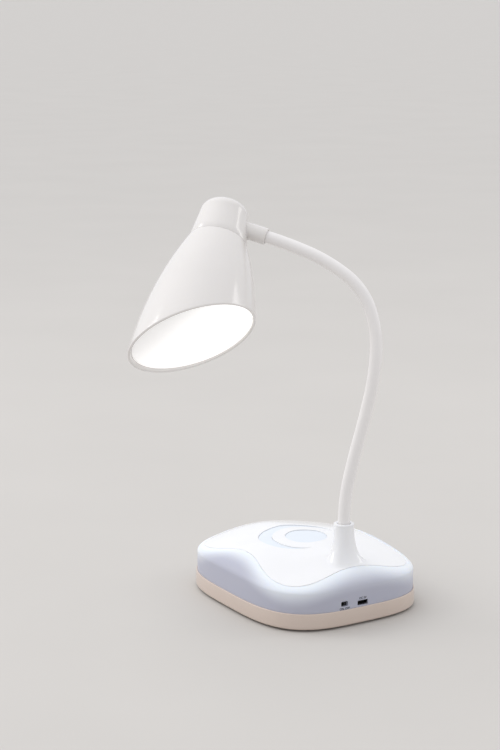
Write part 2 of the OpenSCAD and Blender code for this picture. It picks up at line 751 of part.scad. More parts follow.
module end_ferrule() color("#b9a15c") at_joint(links) difference() {
    union() {
        translate([0, 0, tail_l]) cylinder(h = end_l, r = neck_r + 0.25);
        translate([0, 0, tail_l + end_l - hair])
            cylinder(h = 0.3 + web_t + swivel_t + clip_t + 2.2, r = end_stem);
    }
    translate([0, 0, tail_l - 1]) cylinder(h = 5, r = core_r + run);
    translate([0, 0, tail_l]) cylinder(h = 30, r = core_bore / 2);
    translate([0, 0, web_at + web_t + swivel_t + 0.2]) difference() {
        cylinder(h = clip_t + 0.1, r = end_stem + 1);
        translate([0, 0, -1]) cylinder(h = clip_t + 3, r = end_stem - 0.5);
    }
}

module swivel_washer() color("#d9c27a") at_joint(links)
    translate([0, 0, web_at + web_t + 0.1]) difference() {
        cylinder(h = swivel_t, r = swivel_r);
        translate([0, 0, -1]) cylinder(h = swivel_t + 2, r = end_stem + run);
    }

module swivel_clip() color("silver") at_joint(links)
    translate([0, 0, web_at + web_t + swivel_t + 0.25]) difference() {
        cylinder(h = clip_t, r = 4.8);
        translate([0, 0, -1]) cylinder(h = clip_t + 2, r = end_stem - 0.5 + run);
        translate([0, -1.3, -1]) cube([6, 2.6, clip_t + 2]);
    }

// ---- head ----
// Puts what follows on the seam, +Z up the head's middle, +X away from the neck
module at_head() {
    at_joint(links) rotate([0, 0, head_turn]) translate([0, 0, stub_l])
        rotate([0, head_lean - 90, 0]) translate([seam_r, 0, -stub_up]) children();
}
// Puts what follows on the mouth's plane, +Z into the shade
module at_mouth() {
    translate([0, 0, -shade_l]) rotate([0, mouth_tilt, 0]) children();
}
// Radius of the shade at a depth below the seam: one long arc
function shade_r(t) =
    let (rise = sin(shade_slope) - t / shade_arc)
    seam_r + shade_arc * (sqrt(1 - rise * rise) - cos(shade_slope));

bell_end = 106;
bell_steps = 18;
bell_stops = [for (i = [0:bell_steps]) i * bell_end / bell_steps];
// The bell's outline drawn in by a distance, from a depth below the seam downwards
module bell(inset, from = 0) rotate_extrude($fn = 128) polygon(concat(
    [[0, -from], [shade_r(from) - inset, -from]],
    [for (t = bell_stops) if (t > from) [shade_r(t) - inset, -t]],
    [[0, -bell_end]]));

// The part of space between two distances inside the mouth
module mouth_slab(low, high) at_mouth()
    translate([-100, -100, low]) cube([200, 200, high - low]);

flange_t = 1.6;
flange_in = 6;
boss_at = seam_r - 5;
module head_shade() color("#ece9e6") at_head() difference() {
    bell(0);
    difference() {
        bell(head_wall, flange_t);
        translate([0, 0, -flange_t + hair]) cylinder(h = 5, r = seam_r + 1);
    }
    translate([0, 0, -flange_t - 1]) cylinder(h = 5, r = seam_r - flange_in - head_wall);
    for (s = [-1, 1]) translate([0, s * boss_at, -flange_t - 1])
        cylinder(h = 5, r = pin_r + slip);
    mouth_slab(-120, 0);
}

// Outline of the cap: a slight taper up to a rounded top
module cap_outline(inset) {
    r_in = cap_round - inset;
    polygon(concat(
        [[0, inset > 0 ? -1 : 0], [seam_r - inset, inset > 0 ? -1 : 0]],
        [for (t = [0:10:90]) [cap_r - cap_round + r_in * cos(t), cap_h - cap_round + r_in * sin(t)]],
        [[0, cap_h - inset]]));
}

// Puts what follows on the stub's middle line at its mouth, +Z into the head
module at_stub() translate([-seam_r, 0, stub_up]) rotate([0, 90 - head_lean, 0])
    translate([0, 0, -stub_l]) children();

module head_cap() color("#ece9e6") at_head() difference() {
    union() {
        difference() {
            rotate_extrude($fn = 128) cap_outline(0);
            rotate_extrude($fn = 128) cap_outline(head_wall);
        }
        at_stub() cylinder(h = web_at + web_t, r = stub_d / 2);
        for (s = [-1, 1]) translate([0, s * boss_at, 0]) cylinder(h = 9, r = boss_r);
    }
    at_stub() translate([0, 0, -1]) cylinder(h = web_at + 1, r = neck_r + 0.3);
    at_stub() cylinder(h = web_at + web_t + 1, r = end_stem + run);
    at_stub() translate([0, 0, web_at + web_t]) cylinder(h = web_t, r = swivel_r + slip);
    for (s = [-1, 1]) translate([0, s * boss_at, -1]) cylinder(h = 8, r = pin_r);
}

module head_screws() color("silver") at_head() for (s = [-1, 1])
    translate([0, s * boss_at, -flange_t]) screw(7, pin_r - run, 2, 1.2);

tray_t = 1.4;
tray_low = diffuser_in + diffuser_t;
tray_h = 12;
tray_high = tray_low + tray_h;
plate_r = 27;
plate_t = 1.6;
plate_x = -1.5;
plate_low = tray_high - tray_t - plate_t;
led_holes_at = [for (s = [-1, 1]) [plate_x, s * (plate_r - 4)]];

module reflector_tray() color("#f6f6f4") at_head() difference() {
    intersection() {
        bell(head_wall + seat, flange_t);
        mouth_slab(tray_low, tray_high);
    }
    intersection() {
        bell(head_wall + seat + tray_t, flange_t);
        mouth_slab(tray_low - 1, tray_high - tray_t);
    }
    at_mouth() translate([plate_x, 0, tray_high - 5]) cylinder(h = 10, r = 4);
    for (p = led_holes_at) at_mouth() translate([p.x, p.y, tray_high - 5])
        cylinder(h = 10, r = pin_r);
}

module led_plate() color("#dfe0e2") at_head() at_mouth() difference() {
    translate([plate_x, 0, plate_low]) cylinder(h = plate_t, r = plate_r);
    for (p = led_holes_at) translate([p.x, p.y, plate_low - 1])
        cylinder(h = plate_t + 2, r = pin_r + slip);
    translate([plate_x, 0, plate_low - 1]) cylinder(h = plate_t + 2, r = 3);
}

led_rings = [[11, 6], [20, 12]];
module led_chips() color("#fff6cf") at_head() at_mouth()
    for (ring = led_rings) for (i = [0:ring[1] - 1])
        translate([plate_x, 0, plate_low - 0.8]) rotate([0, 0, (i + 0.5) * 360 / ring[1]])
            translate([ring[0] - 1.4, -1.75, 0]) cube([2.8, 3.5, 0.8]);

module led_screws() color("silver") at_head() at_mouth() for (p = led_holes_at)
    translate([p.x, p.y, plate_low]) screw(plate_t + tray_t, pin_r - run, 2, 1.2);

module diffuser() color("#fffdf8") at_head() intersection() {
    bell(head_wall + seat, flange_t);
    mouth_slab(diffuser_in, tray_low);
}

// Pair of wires from the end of the neck to the lamp plate
module head_leads() color("firebrick") at_head() {
    a = mouth_tilt;
    top = [plate_x * cos(a) + plate_low * sin(a), 0,
           -shade_l - plate_x * sin(a) + plate_low * cos(a)];
    out = stub_out();
    for (s = [-1, 1]) lead([
        out + [0, s * 0.75, 0], out + [4, s * 1.5, -3], [0, s * 2, -2],
        top + [3, s * 1.6, 14], top + [0.3, s * 1.6, plate_t]], 0.55);
}
// Where the neck's bore opens in the cap, seen from the seam
function stub_out() =
    let (l = web_at + web_t + swivel_t + clip_t + 2.2 - stub_l + 0.4)
    [-seam_r + l * cos(head_lean), 0, stub_up + l * sin(head_lean)];

base_pan();
rubber_feet();
case_screws();
ballast_plate();
ballast_screws();
battery_cell();
battery_cradle();
port_board();
usb_socket();
switch_body();
switch_knob();
port_screws();
glow_board();
glow_leds();
glow_screws();
light_ring();
top_cover();
touch_pad();
crescent_inlay();
main_board();
main_chips();
board_screws();
touch_spring();
battery_leads();
port_leads();
neck_ferrule();
neck_washer();
neck_locknut();
sleeve_foot();  // neck_sleeve_0
core_foot();  // neck_core_0
for (k = [1:8]) {
    sleeve_link(k);
    core_link(k);
}
end_ferrule();
swivel_washer();
swivel_clip();
head_cap();
head_shade();
reflector_tray();
led_plate();
led_chips();
led_screws();
head_screws();
diffuser();
head_leads();
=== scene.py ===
"""Cordless desk lamp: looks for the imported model, in metres, +Z up, the front at -Y."""
import json
import math

import bmesh
import bpy
import numpy as np
from mathutils import Matrix, Vector


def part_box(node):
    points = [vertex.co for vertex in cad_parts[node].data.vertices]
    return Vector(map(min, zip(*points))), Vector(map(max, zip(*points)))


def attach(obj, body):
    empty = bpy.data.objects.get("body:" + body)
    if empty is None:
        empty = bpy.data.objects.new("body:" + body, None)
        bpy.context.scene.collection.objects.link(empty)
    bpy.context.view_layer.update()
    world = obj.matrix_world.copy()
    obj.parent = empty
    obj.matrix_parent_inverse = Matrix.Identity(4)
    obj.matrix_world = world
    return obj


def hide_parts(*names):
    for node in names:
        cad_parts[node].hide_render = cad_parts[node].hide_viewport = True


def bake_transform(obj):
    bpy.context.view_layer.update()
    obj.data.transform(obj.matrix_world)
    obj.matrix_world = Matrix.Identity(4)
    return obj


bl_info = {
    "name": "Cordless Desk Lamp",
    "version": (1, 0, 0),
    "blender": (4, 5, 0),
    "location": "View3D > Sidebar > Desk Lamp",
    "description": "Builds a cordless desk lamp with a bendable neck and a night-light base",
    "category": "Add Mesh",
}

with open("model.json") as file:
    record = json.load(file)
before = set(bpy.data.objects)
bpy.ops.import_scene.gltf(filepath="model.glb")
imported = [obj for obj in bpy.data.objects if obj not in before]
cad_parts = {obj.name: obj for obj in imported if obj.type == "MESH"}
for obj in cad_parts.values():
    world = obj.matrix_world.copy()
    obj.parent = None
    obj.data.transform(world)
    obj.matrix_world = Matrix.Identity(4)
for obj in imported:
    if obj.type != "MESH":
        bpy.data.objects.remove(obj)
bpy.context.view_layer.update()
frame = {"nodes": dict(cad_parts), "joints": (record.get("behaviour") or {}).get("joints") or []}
MM = 0.001
TAU = 2 * math.pi
BEAD = 0.25 * MM  # radius of the rounded edges at the wave edge


# ---------------------------------------------------------------- settings
def a_number(name, description, default):
    """A plain number."""
    return bpy.props.FloatProperty(name=name, description=description, default=default)


def a_share(name, description, default):
    """A share of a whole."""
    return bpy.props.FloatProperty(name=name, description=description, default=default,
                                   subtype="FACTOR")


def a_length(name, description, millimetres):
    """A length, given in millimetres."""
    return bpy.props.FloatProperty(name=name, description=description,
                                   default=millimetres * MM, unit="LENGTH", precision=5)


def an_angle(name, description, degrees):
    """An angle, given in degrees."""
    return bpy.props.FloatProperty(name=name, description=description,
                                   default=math.radians(degrees), subtype="ANGLE")


def a_colour(name, description, default):
    """The colour of a surface."""
    return bpy.props.FloatVectorProperty(name=name, description=description, default=default,
                                         size=3, subtype="COLOR")


class BaseSettings(bpy.types.PropertyGroup):
    """Sizes of the base that the frame's boxes don't give"""

    squareness: a_number("Squareness", "Squareness of the outline, 2 is an ellipse", 3.4)
    ring_inset: a_length("Ring Inset", "How far the ring stands in from the pan's rim", 0.9)
    shoulder: a_length("Shoulder Height", "Where the ring's wall starts to round over", 24.5)
    crown: a_length("Crown Height", "Height of the cover's crown", 41.3)
    crown_flat: a_number("Crown Flatness", "How far the crown stays flat", 2.2)
    crown_turn: a_number("Crown Turn", "How sharply the crown turns down", 2.3)
    crown_corner: a_share("Crown Corners", "How much lower the crown lies towards the corners", 0.48)
    wave_left: a_share("Wave at the Sides", "Cover's reach at the left and right", 0.75)
    wave_front: a_share("Wave at Front and Back", "Cover's reach at the front and back", 0.83)
    wave_corner: a_share("Wave at the Corners", "Cover's reach at the corners", 0.94)
    wave_lobe: a_number("Wave Lobes", "How narrow the wave's lobes at the corners are", 1.37)
    cover_thickness: a_length("Cover Thickness", "Thickness of the cover", 1.8)
    pad_radius: a_length("Pad Radius", "Radius of the touch pad", 14)
    pad_back: a_length("Pad Offset", "How far the pad lies behind the middle", 2.6)
    crescent_inner: a_length("Crescent Inner Radius", "Inner radius of the crescent", 22.7)
    crescent_outer: a_length("Crescent Outer Radius", "Outer radius of the crescent", 26.4)
    crescent_offset: a_length(
        "Crescent Offset", "How far the outer circle is set off from the pad", 6)
    crescent_angle: an_angle("Crescent Direction", "Direction of the crescent's broad side", -55)


class NeckSettings(bpy.types.PropertyGroup):
    """Sizes of the socket, its flare and the neck"""

    socket_radius: a_length("Socket Lip Radius", "Outer radius of the socket's lip", 6.7)
    socket_bore: a_length("Socket Bore", "Radius of the hole that the neck stands in", 4.2)
    flare_width: a_length("Flare Width", "Width of the flare round the socket", 7)
    flare_lean: a_share("Flare Lean", "How much broader the flare is towards the back", 0.6)
    flare_drop: a_length("Flare Drop", "Distance from the lip down to the flare's top", 2.8)
    neck_radius: a_length("Neck Radius", "Radius of the neck's sleeve", 3.9)


class HeadSettings(bpy.types.PropertyGroup):
    """Sizes of the head, as seen from the end of the neck"""

    turn: an_angle("Head Turn", "Turn of the head about its stub", 42)
    lean: an_angle("Head Lean", "Lean of the head on its stub, from square", 9.5)
    stub_length: a_length("Stub Length", "Length of the stub outside the head", 11)
    stub_radius: a_length("Stub Radius", "Radius of the stub", 5.4)
    stub_up: a_length("Stub Height", "Height of the stub above the seam", 11.9)
    seam_radius: a_length("Seam Radius", "Radius at the seam between cap and shade", 18.5)
    shade_slope: an_angle("Shade Slope", "Slope of the shade just below the seam", 23)
    shade_arc: a_length("Shade Arc", "Radius of the shade's long curve", 248)
    shade_length: a_length("Shade Length", "Length from the seam to the mouth", 70.4)
    mouth_tilt: an_angle("Mouth Tilt", "Angle between the mouth and a square cut", 28.8)
    wall: a_length("Wall", "Wall of the cap and the shade", 1.8)
    cap_height: a_length("Cap Height", "Height of the cap above the seam", 28)
    cap_radius: a_length("Cap Radius", "Radius of the cap below its rounded top", 15.6)
    cap_round: a_length("Cap Rounding", "Radius of the cap's rounded edge", 8)
    dim_side: an_angle("Dim Side", "Direction of the diffuser's dimmer side", 40)
    diffuser_depth: a_length("Diffuser Depth", "How far the diffuser lies inside the mouth", 1.5)


class LookSettings(bpy.types.PropertyGroup):
    """Colours of the visible surfaces"""

    cover: a_colour("Cover", "Glossy white cover", (0.865, 0.87, 0.885))
    # Ring is the frosted ring's colour painted lighter beside the cover as painted light; Ring Shade
    # is the same ring painted darker lower down as painted shade.
    ring: a_colour("Ring", "Frosted ring beside the cover", (0.82, 0.865, 0.92))
    ring_painted_shade: a_colour("Ring Shade", "Frosted ring lower down", (0.45, 0.46, 0.545))
    # Pan is partly the pan's own off-white and partly a painted warm reflection and painted shade.
    pan: a_colour("Pan", "Beige pan", (0.62, 0.52, 0.455))
    pad: a_colour("Pad", "Pale blue inlays", (0.75, 0.81, 0.885))
    neck: a_colour("Neck", "Satin white sleeve", (0.86, 0.84, 0.83))
    head: a_colour("Head", "Warm white shade and cap", (0.77, 0.745, 0.725))


class StageSettings(bpy.types.PropertyGroup):
    """The photograph's camera, and the colours of the floor and the background"""

    view_azimuth: an_angle("Azimuth", "Direction the camera stands in, from the front", 148.26)
    view_elevation: an_angle("Elevation", "Height of the camera's line of sight", 12.10)
    view_depth: bpy.props.FloatProperty(
        name="Depth", description="Distance from the camera to the base", default=1.21285,
        unit="LENGTH")
    aim_height: a_length("Aim Height", "Height of the aimed point above the table", 20)
    aim_across: a_share(
        "Aim Across", "Where the aimed point stands in the picture, from the left", 303.56 / 500)
    aim_down: a_share(
        "Aim Down", "Where the aimed point stands in the picture, from the top", 564.63 / 750)
    lens: a_number("Lens", "Focal length in picture heights", 1800 / 750)
    floor: a_colour("Floor", "Pale floor and background", (0.56, 0.54, 0.515))
    far: a_colour("Far Colour", "What the camera sees beyond the floor", (0.63, 0.61, 0.585))


# ---------------------------------------------------------------- mesh helpers
def outward(mesh):
    """Turns the faces of a mesh outward."""
    rework = bmesh.new()
    rework.from_mesh(mesh)
    bmesh.ops.recalc_face_normals(rework, faces=rework.faces)
    rework.to_mesh(mesh)
    rework.free()


def plain_object(name, points, faces):
    """An object that rides on nothing yet, for cutting or finishing."""
    mesh = bpy.data.meshes.new(name)
    mesh.from_pydata([tuple(p) for p in points], [], faces)
    outward(mesh)
    item = bpy.data.objects.new(name, mesh)
    bpy.context.scene.collection.objects.link(item)
    return item


def finished(item, body, node, finish=None, smooth=True, sharp=35):
    """Shades a piece, paints it as the node that it stands for, and rides it on its body."""
    mesh = item.data
    outward(mesh)
    mesh.polygons.foreach_set("use_smooth", [smooth] * len(mesh.polygons))
    if smooth:
        mesh.set_sharp_from_angle(angle=math.radians(sharp))
    mesh.materials.clear()
    mesh.materials.append(MATERIALS[finish or NODE_FINISH[node]])
    if body:
        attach(item, body)
    return item


def piece(name, points, faces, body, node, smooth=True, sharp=35):
    """A finished piece of the given points and faces that rides on a body."""
    item = plain_object(name, points, faces)
    item.data.validate()
    return finished(item, body, node, smooth=smooth, sharp=sharp)


def band(rows, close_rows=False):
    """Quads between rows of points that each run once round."""
    count, width = len(rows), len(rows[0])
    faces = []
    for i in range(count if close_rows else count - 1):
        here, there = i * width, (i + 1) % count * width
        for j in range(width):
            k = (j + 1) % width
            faces.append((here + j, here + k, there + k, there + j))
    return faces


def stacked(rows):
    """All the points of a list of rows."""
    return np.concatenate([np.asarray(r) for r in rows])


def fan(rows, first=True):
    """One face that closes the first or the last row."""
    width = len(rows[0])
    start = 0 if first else (len(rows) - 1) * width
    ring = list(range(start, start + width))
    return [tuple(ring if first else reversed(ring))]


def capped(rows):
    """Points and faces of a solid whose first and last rows are its ends."""
    return stacked(rows), band(rows) + fan(rows) + fan(rows, False)


def looped(rows):
    """Points and faces of a solid whose last row joins its first."""
    return stacked(rows), band(rows, True)


def turned(profile, steps, place):
    """Rows of points made by turning (radius, height) pairs about Z, then placed."""
    spots = round_angles(steps)
    return [[place @ Vector((radius * math.cos(a), radius * math.sin(a), height)) for a in spots]
            for radius, height in profile]


def round_angles(count):
    """Angles once round."""
    return np.arange(count) * TAU / count


def arc_profile(centre_r, centre_z, radius, start, end, count):
    """Points of an arc in a (radius, height) profile, angles in degrees."""
    points = []
    for i in range(count + 1):
        a = math.radians(start + (end - start) * i / count)
        points.append((centre_r + radius * math.cos(a), centre_z + radius * math.sin(a)))
    return points


def cut(item, *cutters):
    """Cuts closed meshes out of a piece, and removes the cutters."""
    for cutter in cutters:
        step = item.modifiers.new("cut", "BOOLEAN")
        step.operation = "DIFFERENCE"
        step.solver = "EXACT"
        step.object = cutter
    bpy.context.view_layer.update()
    shape = bpy.data.meshes.new_from_object(
        item.evaluated_get(bpy.context.evaluated_depsgraph_get()))
    item.modifiers.clear()
    item.data = shape
    for cutter in cutters:
        bpy.data.objects.remove(cutter)
    return item


def prism(name, outline, low, high):
    """An upright prism on a flat outline."""
    rows = [[(x, y, low) for x, y in outline], [(x, y, high) for x, y in outline]]
    return plain_object(name, *capped(rows))


def rounded_box(name, low, high, radius, count=5):
    """A box whose edges along Y are rounded."""
    corners = [(high[0] - radius, high[2] - radius, 0), (low[0] + radius, high[2] - radius, 90),
               (low[0] + radius, low[2] + radius, 180), (high[0] - radius, low[2] + radius, 270)]
    outline = []
    for cx, cz, start in corners:
        outline += arc_profile(cx, cz, radius, start, start + 90, count)
    rows = [[(x, y, z) for x, z in outline] for y in (low[1], high[1])]
    return plain_object(name, *capped(rows))


# ---------------------------------------------------------------- the base's surface
class Base:
    """Outline, crown and wave edge of the base, worked out from the frame and the settings."""

    def __init__(self):
        self.set = bpy.context.scene.lamp_base
        self.neck = bpy.context.scene.lamp_neck
        low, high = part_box("base_pan")
        self.half = np.array([(high.x - low.x) / 2, (high.y - low.y) / 2])
        self.pan_low, self.rim = low.z, high.z
        self.foot = frame["joints"][0]["pos_m"]

    def unit(self, angle):
        """Outline of unit size at an angle."""
        n = self.set.squareness
        return (np.abs(np.cos(angle)) ** n + np.abs(np.sin(angle)) ** n) ** (-1 / n)

    def flat(self, angle, inset, share=1.0):
        """Points of the outline, drawn in and scaled."""
        r = self.unit(angle) * share
        return np.stack([(self.half[0] - inset) * r * np.cos(angle),
                         (self.half[1] - inset) * r * np.sin(angle)], -1)

    def cornered(self, angle):
        """How near an angle is to a corner's: 0 at the middle of a side, 1 at a corner."""
        return 0.5 - 0.5 * np.cos(4 * angle)

    def height(self, angle, share, depth=0.0):
        """Height of the crown at an angle and a share of the outline."""
        s = self.set
        fall = np.clip(1 - np.abs(share) ** s.crown_flat, 0, 1) ** (1 / s.crown_turn)
        fall = fall * (1 - s.crown_corner * self.cornered(angle) * share ** 2)
        return s.shoulder + (s.crown - depth - s.shoulder) * fall

    def height_at(self, x, y, depth=0.0):
        """Height of the crown at places on the base."""
        share, angle = self.share_angle(x, y, depth)
        return self.height(angle, share, depth)

    def point(self, angle, share, depth=0.0):
        """Points of the crown's surface at an angle and a share of the outline."""
        flat = self.flat(angle, self.set.ring_inset + depth, share)
        return np.concatenate([flat, (self.height(angle, share, depth))[:, None]], 1)

    def share_angle(self, x, y, depth=0.0):
        """Share of the outline and angle of places on the base."""
        half = self.half - self.set.ring_inset - depth
        n = self.set.squareness
        share = (np.abs(x / half[0]) ** n + np.abs(y / half[1]) ** n) ** (1 / n)
        return share, np.arctan2(y / half[1], x / half[0])

    def wave(self, angle):
        """Share of the outline that the cover reaches."""
        s = self.set
        side = s.wave_left * np.cos(angle) ** 2 + s.wave_front * np.sin(angle) ** 2
        lobe = self.cornered(angle) ** s.wave_lobe
        return side + (s.wave_corner - side) * lobe

    def reach(self, bearing):
        """Distance from the neck's foot to the wave edge along a bearing."""
        beyond, halvings = 0.2, 40
        low, high = np.zeros_like(bearing), np.full_like(bearing, beyond)
        for _ in range(halvings):
            middle = (low + high) / 2
            share, angle = self.share_angle(middle * np.cos(bearing),
                                            self.foot[1] + middle * np.sin(bearing))
            inside = share < self.wave(angle)
            low, high = np.where(inside, middle, low), np.where(inside, high, middle)
        return low

    def flare_size(self, bearing, tube):
        """Width of the flare along a bearing: broader towards the back, short of the edge."""
        free = self.neck.flare_width * (1 + self.neck.flare_lean * np.sin(bearing))
        edge = self.set.wave_front * (self.half[1] - self.set.ring_inset) - BEAD
        room = (edge - self.foot[1]) / np.maximum(np.sin(bearing), 0.01) - tube
        softness = 4
        return (free ** -softness + room ** -softness) ** (-1 / softness)

    def from_edge(self, points):
        """Distance of the ring's points from the wave edge, over the crown and down the wall, which
        places the ring's painted light and painted shade.
        """
        share, angle = self.share_angle(points[:, 0], points[:, 1])
        across = (share - self.wave(angle)) * self.half.mean()
        return across + np.maximum(0, self.height(angle, np.minimum(share, 1)) - points[:, 2])


def crescent_strip(base, name, gap, top, thickness, rim):
    """The crescent as a strip along its length: it follows the crown, top is its depth."""
    s = base.set
    inner, outer = s.crescent_inner + gap, s.crescent_outer - gap
    off, aim = s.crescent_offset, s.crescent_angle
    short_of_tip, steps, across, chamfer = 0.004, 193, 9, 0.3
    spread = math.acos((inner ** 2 + off ** 2 - outer ** 2) / (2 * inner * off)) - short_of_tip
    rows = []
    for turn in np.linspace(-spread, spread, steps):
        far = off * math.cos(turn) + math.sqrt(outer ** 2 - (off * math.sin(turn)) ** 2)
        edge = min(rim, chamfer * (far - inner))
        radius = np.array([inner, inner, inner + chamfer * edge]
                          + list(np.linspace(inner + edge, far - edge, across))
                          + [far - chamfer * edge, far, far])
        drop = np.array([thickness, edge, chamfer * edge] + [0] * across
                        + [chamfer * edge, edge, thickness])
        x = radius * math.cos(aim + turn)
        y = s.pad_back + radius * math.sin(aim + turn)
        rows.append(np.stack([x, y, base.height_at(x, y) - top - drop], -1))
    return plain_object(name, *capped(rows))


# ---------------------------------------------------------------- materials
class Finish:
    """A node material in the making, with its textures in the object's own space."""

    def __init__(self, name):
        self.material = bpy.data.materials.new(name)
        self.material.use_nodes = True
        self.nodes = self.material.node_tree.nodes
        self.nodes.clear()
        output = self.nodes.new("ShaderNodeOutputMaterial")
        self.shader = self.nodes.new("ShaderNodeBsdfPrincipled")
        self.place = self.nodes.new("ShaderNodeTexCoord").outputs["Object"]
        self.link(self.shader.outputs["BSDF"], output.inputs["Surface"])

    def link(self, source, target):
        """Links a node's output to another's input."""
        self.material.node_tree.links.new(source, target)

    def dial(self, values, node=None):
        """Sets constant values on the shader's sockets, or on another node's."""
        for name, value in values.items():
            (node or self.shader).inputs[name].default_value = value

    def noise(self, scale, detail, place=None):
        """Grey of a noise texture."""
        texture = self.nodes.new("ShaderNodeTexNoise")
        self.dial({"Scale": scale, "Detail": detail}, texture)
        self.link(place or self.place, texture.inputs["Vector"])
        return texture.outputs["Fac"]

    def spread(self, grey, low, high):
        """Maps the middle of a texture's grey to a range."""
        span = self.nodes.new("ShaderNodeMapRange")
        self.dial({"From Min": 0.3, "From Max": 0.7, "To Min": low, "To Max": high}, span)
        self.link(grey, span.inputs["Value"])
        return span.outputs["Result"]

    def eased(self, attribute, values):
        """A mesh attribute, mapped with a soft start and end."""
        source = self.nodes.new("ShaderNodeAttribute")
        source.attribute_name = attribute
        span = self.nodes.new("ShaderNodeMapRange")
        span.interpolation_type = "SMOOTHSTEP"
        self.dial(values, span)
        self.link(source.outputs["Fac"], span.inputs["Value"])
        return span.outputs["Result"]

    def paint(self, share, first, second):
        """Gives the shader a colour between two: 0 is the first, 1 the second."""
        mix = self.nodes.new("ShaderNodeMix")
        mix.data_type = "RGBA"
        factor, first_colour, second_colour, result = 0, 6, 7, 2
        mix.inputs[first_colour].default_value = (*first, 1)
        mix.inputs[second_colour].default_value = (*second, 1)
        self.link(share, mix.inputs[factor])
        self.link(mix.outputs[result], self.shader.inputs["Base Color"])

    def mottle(self, grey, first, second):
        """Gives the shader a colour that a texture varies between two."""
        self.paint(self.spread(grey, 0, 1), first, second)

    def roughen(self, grey, low, high):
        """Lets a texture vary the shader's roughness."""
        self.link(self.spread(grey, low, high), self.shader.inputs["Roughness"])

    def relief(self, grey, strength, distance):
        """Fine relief from a texture."""
        bump = self.nodes.new("ShaderNodeBump")
        self.dial({"Strength": strength, "Distance": distance}, bump)
        self.link(grey, bump.inputs["Height"])
        self.link(bump.outputs["Normal"], self.shader.inputs["Normal"])


def scaled(colour, factor):
    """A lighter or darker shade of a colour."""
    return tuple(min(1.0, c * factor) for c in colour)


def moulded(name, colour, roughness, coat=0.0, grain=2600, relief=0.02, vary=0.03, soft=0.0,
            shine=0.5):
    """Moulded plastic: a little colour and roughness variation, and fine grain."""
    finish = Finish(name)
    fine = finish.noise(grain, 2)
    finish.mottle(finish.noise(18, 2), scaled(colour, 1 - vary), scaled(colour, 1 + vary / 2))
    finish.roughen(fine, roughness * 0.88, roughness * 1.12)
    finish.relief(fine, relief, 0.00005)
    finish.dial({"Specular IOR Level": shine, "Coat Weight": coat, "Coat Roughness": 0.06,
                 "Subsurface Weight": soft, "Subsurface Radius": (0.004, 0.004, 0.005)})
    return finish.material


def metal(name, colour, roughness, stretch=40):
    """Metal with fine drawn or turned lines."""
    finish = Finish(name)
    stretched = finish.nodes.new("ShaderNodeMapping")
    finish.dial({"Scale": (1, 1, stretch)}, stretched)
    finish.link(finish.place, stretched.inputs["Vector"])
    lines = finish.noise(400, 3, stretched.outputs["Vector"])
    finish.mottle(lines, scaled(colour, 0.88), scaled(colour, 1.05))
    finish.roughen(lines, roughness * 0.8, roughness * 1.2)
    finish.relief(lines, 0.05, 0.00005)
    finish.dial({"Metallic": 1.0})
    return finish.material


def frosted_ring(colour, shade):
    """Frosted plastic with a blasted mould's grain: painted light makes it bright beside the cover,
    painted shade makes it darker below.
    """
    finish = Finish("frosted_ring")
    # Painted light and shade: the colour runs from the painted light at the wave edge to the painted
    # shade about 14 mm lower.
    finish.paint(finish.eased("from_edge", {"From Min": 0.0005, "From Max": 0.0145}), colour, shade)
    fine = finish.noise(3500, 2)
    finish.roughen(fine, 0.42, 0.55)
    finish.relief(fine, 0.05, 0.00008)
    finish.dial({"Subsurface Weight": 0.35, "Subsurface Radius": (0.006, 0.007, 0.009),
                 "Coat Weight": 0.15, "Coat Roughness": 0.35})
    return finish.material


def lit_opal():
    """Opal diffuser, lit from behind, a little dimmer towards one side."""
    finish = Finish("lit_opal")
    finish.mottle(finish.noise(30, 1), (0.93, 0.93, 0.93), (0.97, 0.97, 0.965))
    finish.dial({"Roughness": 0.45, "Emission Color": (1.0, 0.985, 0.97, 1)})
    finish.link(finish.eased("to_dim_side", {"To Min": 0.5, "To Max": 0.16}),
                finish.shader.inputs["Emission Strength"])
    return finish.material


def glowing_lens():
    """Clear resin of a light-emitting chip over its phosphor."""
    finish = Finish("glowing_lens")
    finish.mottle(finish.noise(900, 1), (0.9, 0.75, 0.25), (1.0, 0.9, 0.5))
    finish.dial({"Roughness": 0.2, "Emission Color": (1.0, 0.93, 0.8, 1), "Emission Strength": 1.0})
    return finish.material


def circuit_board(name, colour):
    """Solder mask with faint copper tracks under it."""
    finish = Finish(name)
    tracks = finish.nodes.new("ShaderNodeTexBrick")
    finish.dial({"Scale": 260, "Mortar Size": 0.03, "Color1": (*scaled(colour, 0.92), 1),
                 "Color2": (*colour, 1), "Mortar": (*scaled(colour, 1.25), 1)}, tracks)
    finish.link(finish.place, tracks.inputs["Vector"])
    finish.link(tracks.outputs["Color"], finish.shader.inputs["Base Color"])
    finish.relief(tracks.outputs["Fac"], 0.1, 0.00003)
    finish.dial({"Roughness": 0.35})
    return finish.material


def wrapped_cell():
    """Shrink wrap of the battery cell, with a pale band at its end."""
    finish = Finish("wrapped_cell")
    split = finish.nodes.new("ShaderNodeSeparateXYZ")
    finish.link(finish.place, split.inputs["Vector"])
    end = finish.nodes.new("ShaderNodeMath")
    end.operation = "GREATER_THAN"
    value, threshold, band_start = 0, 1, 0.029
    end.inputs[threshold].default_value = band_start
    finish.link(split.outputs["X"], end.inputs[value])
    finish.paint(end.outputs["Value"], (0.09, 0.25, 0.5), (0.85, 0.85, 0.85))
    finish.relief(finish.noise(300, 2), 0.05, 0.0001)
    finish.dial({"Roughness": 0.3})
    return finish.material


MATERIALS = {}


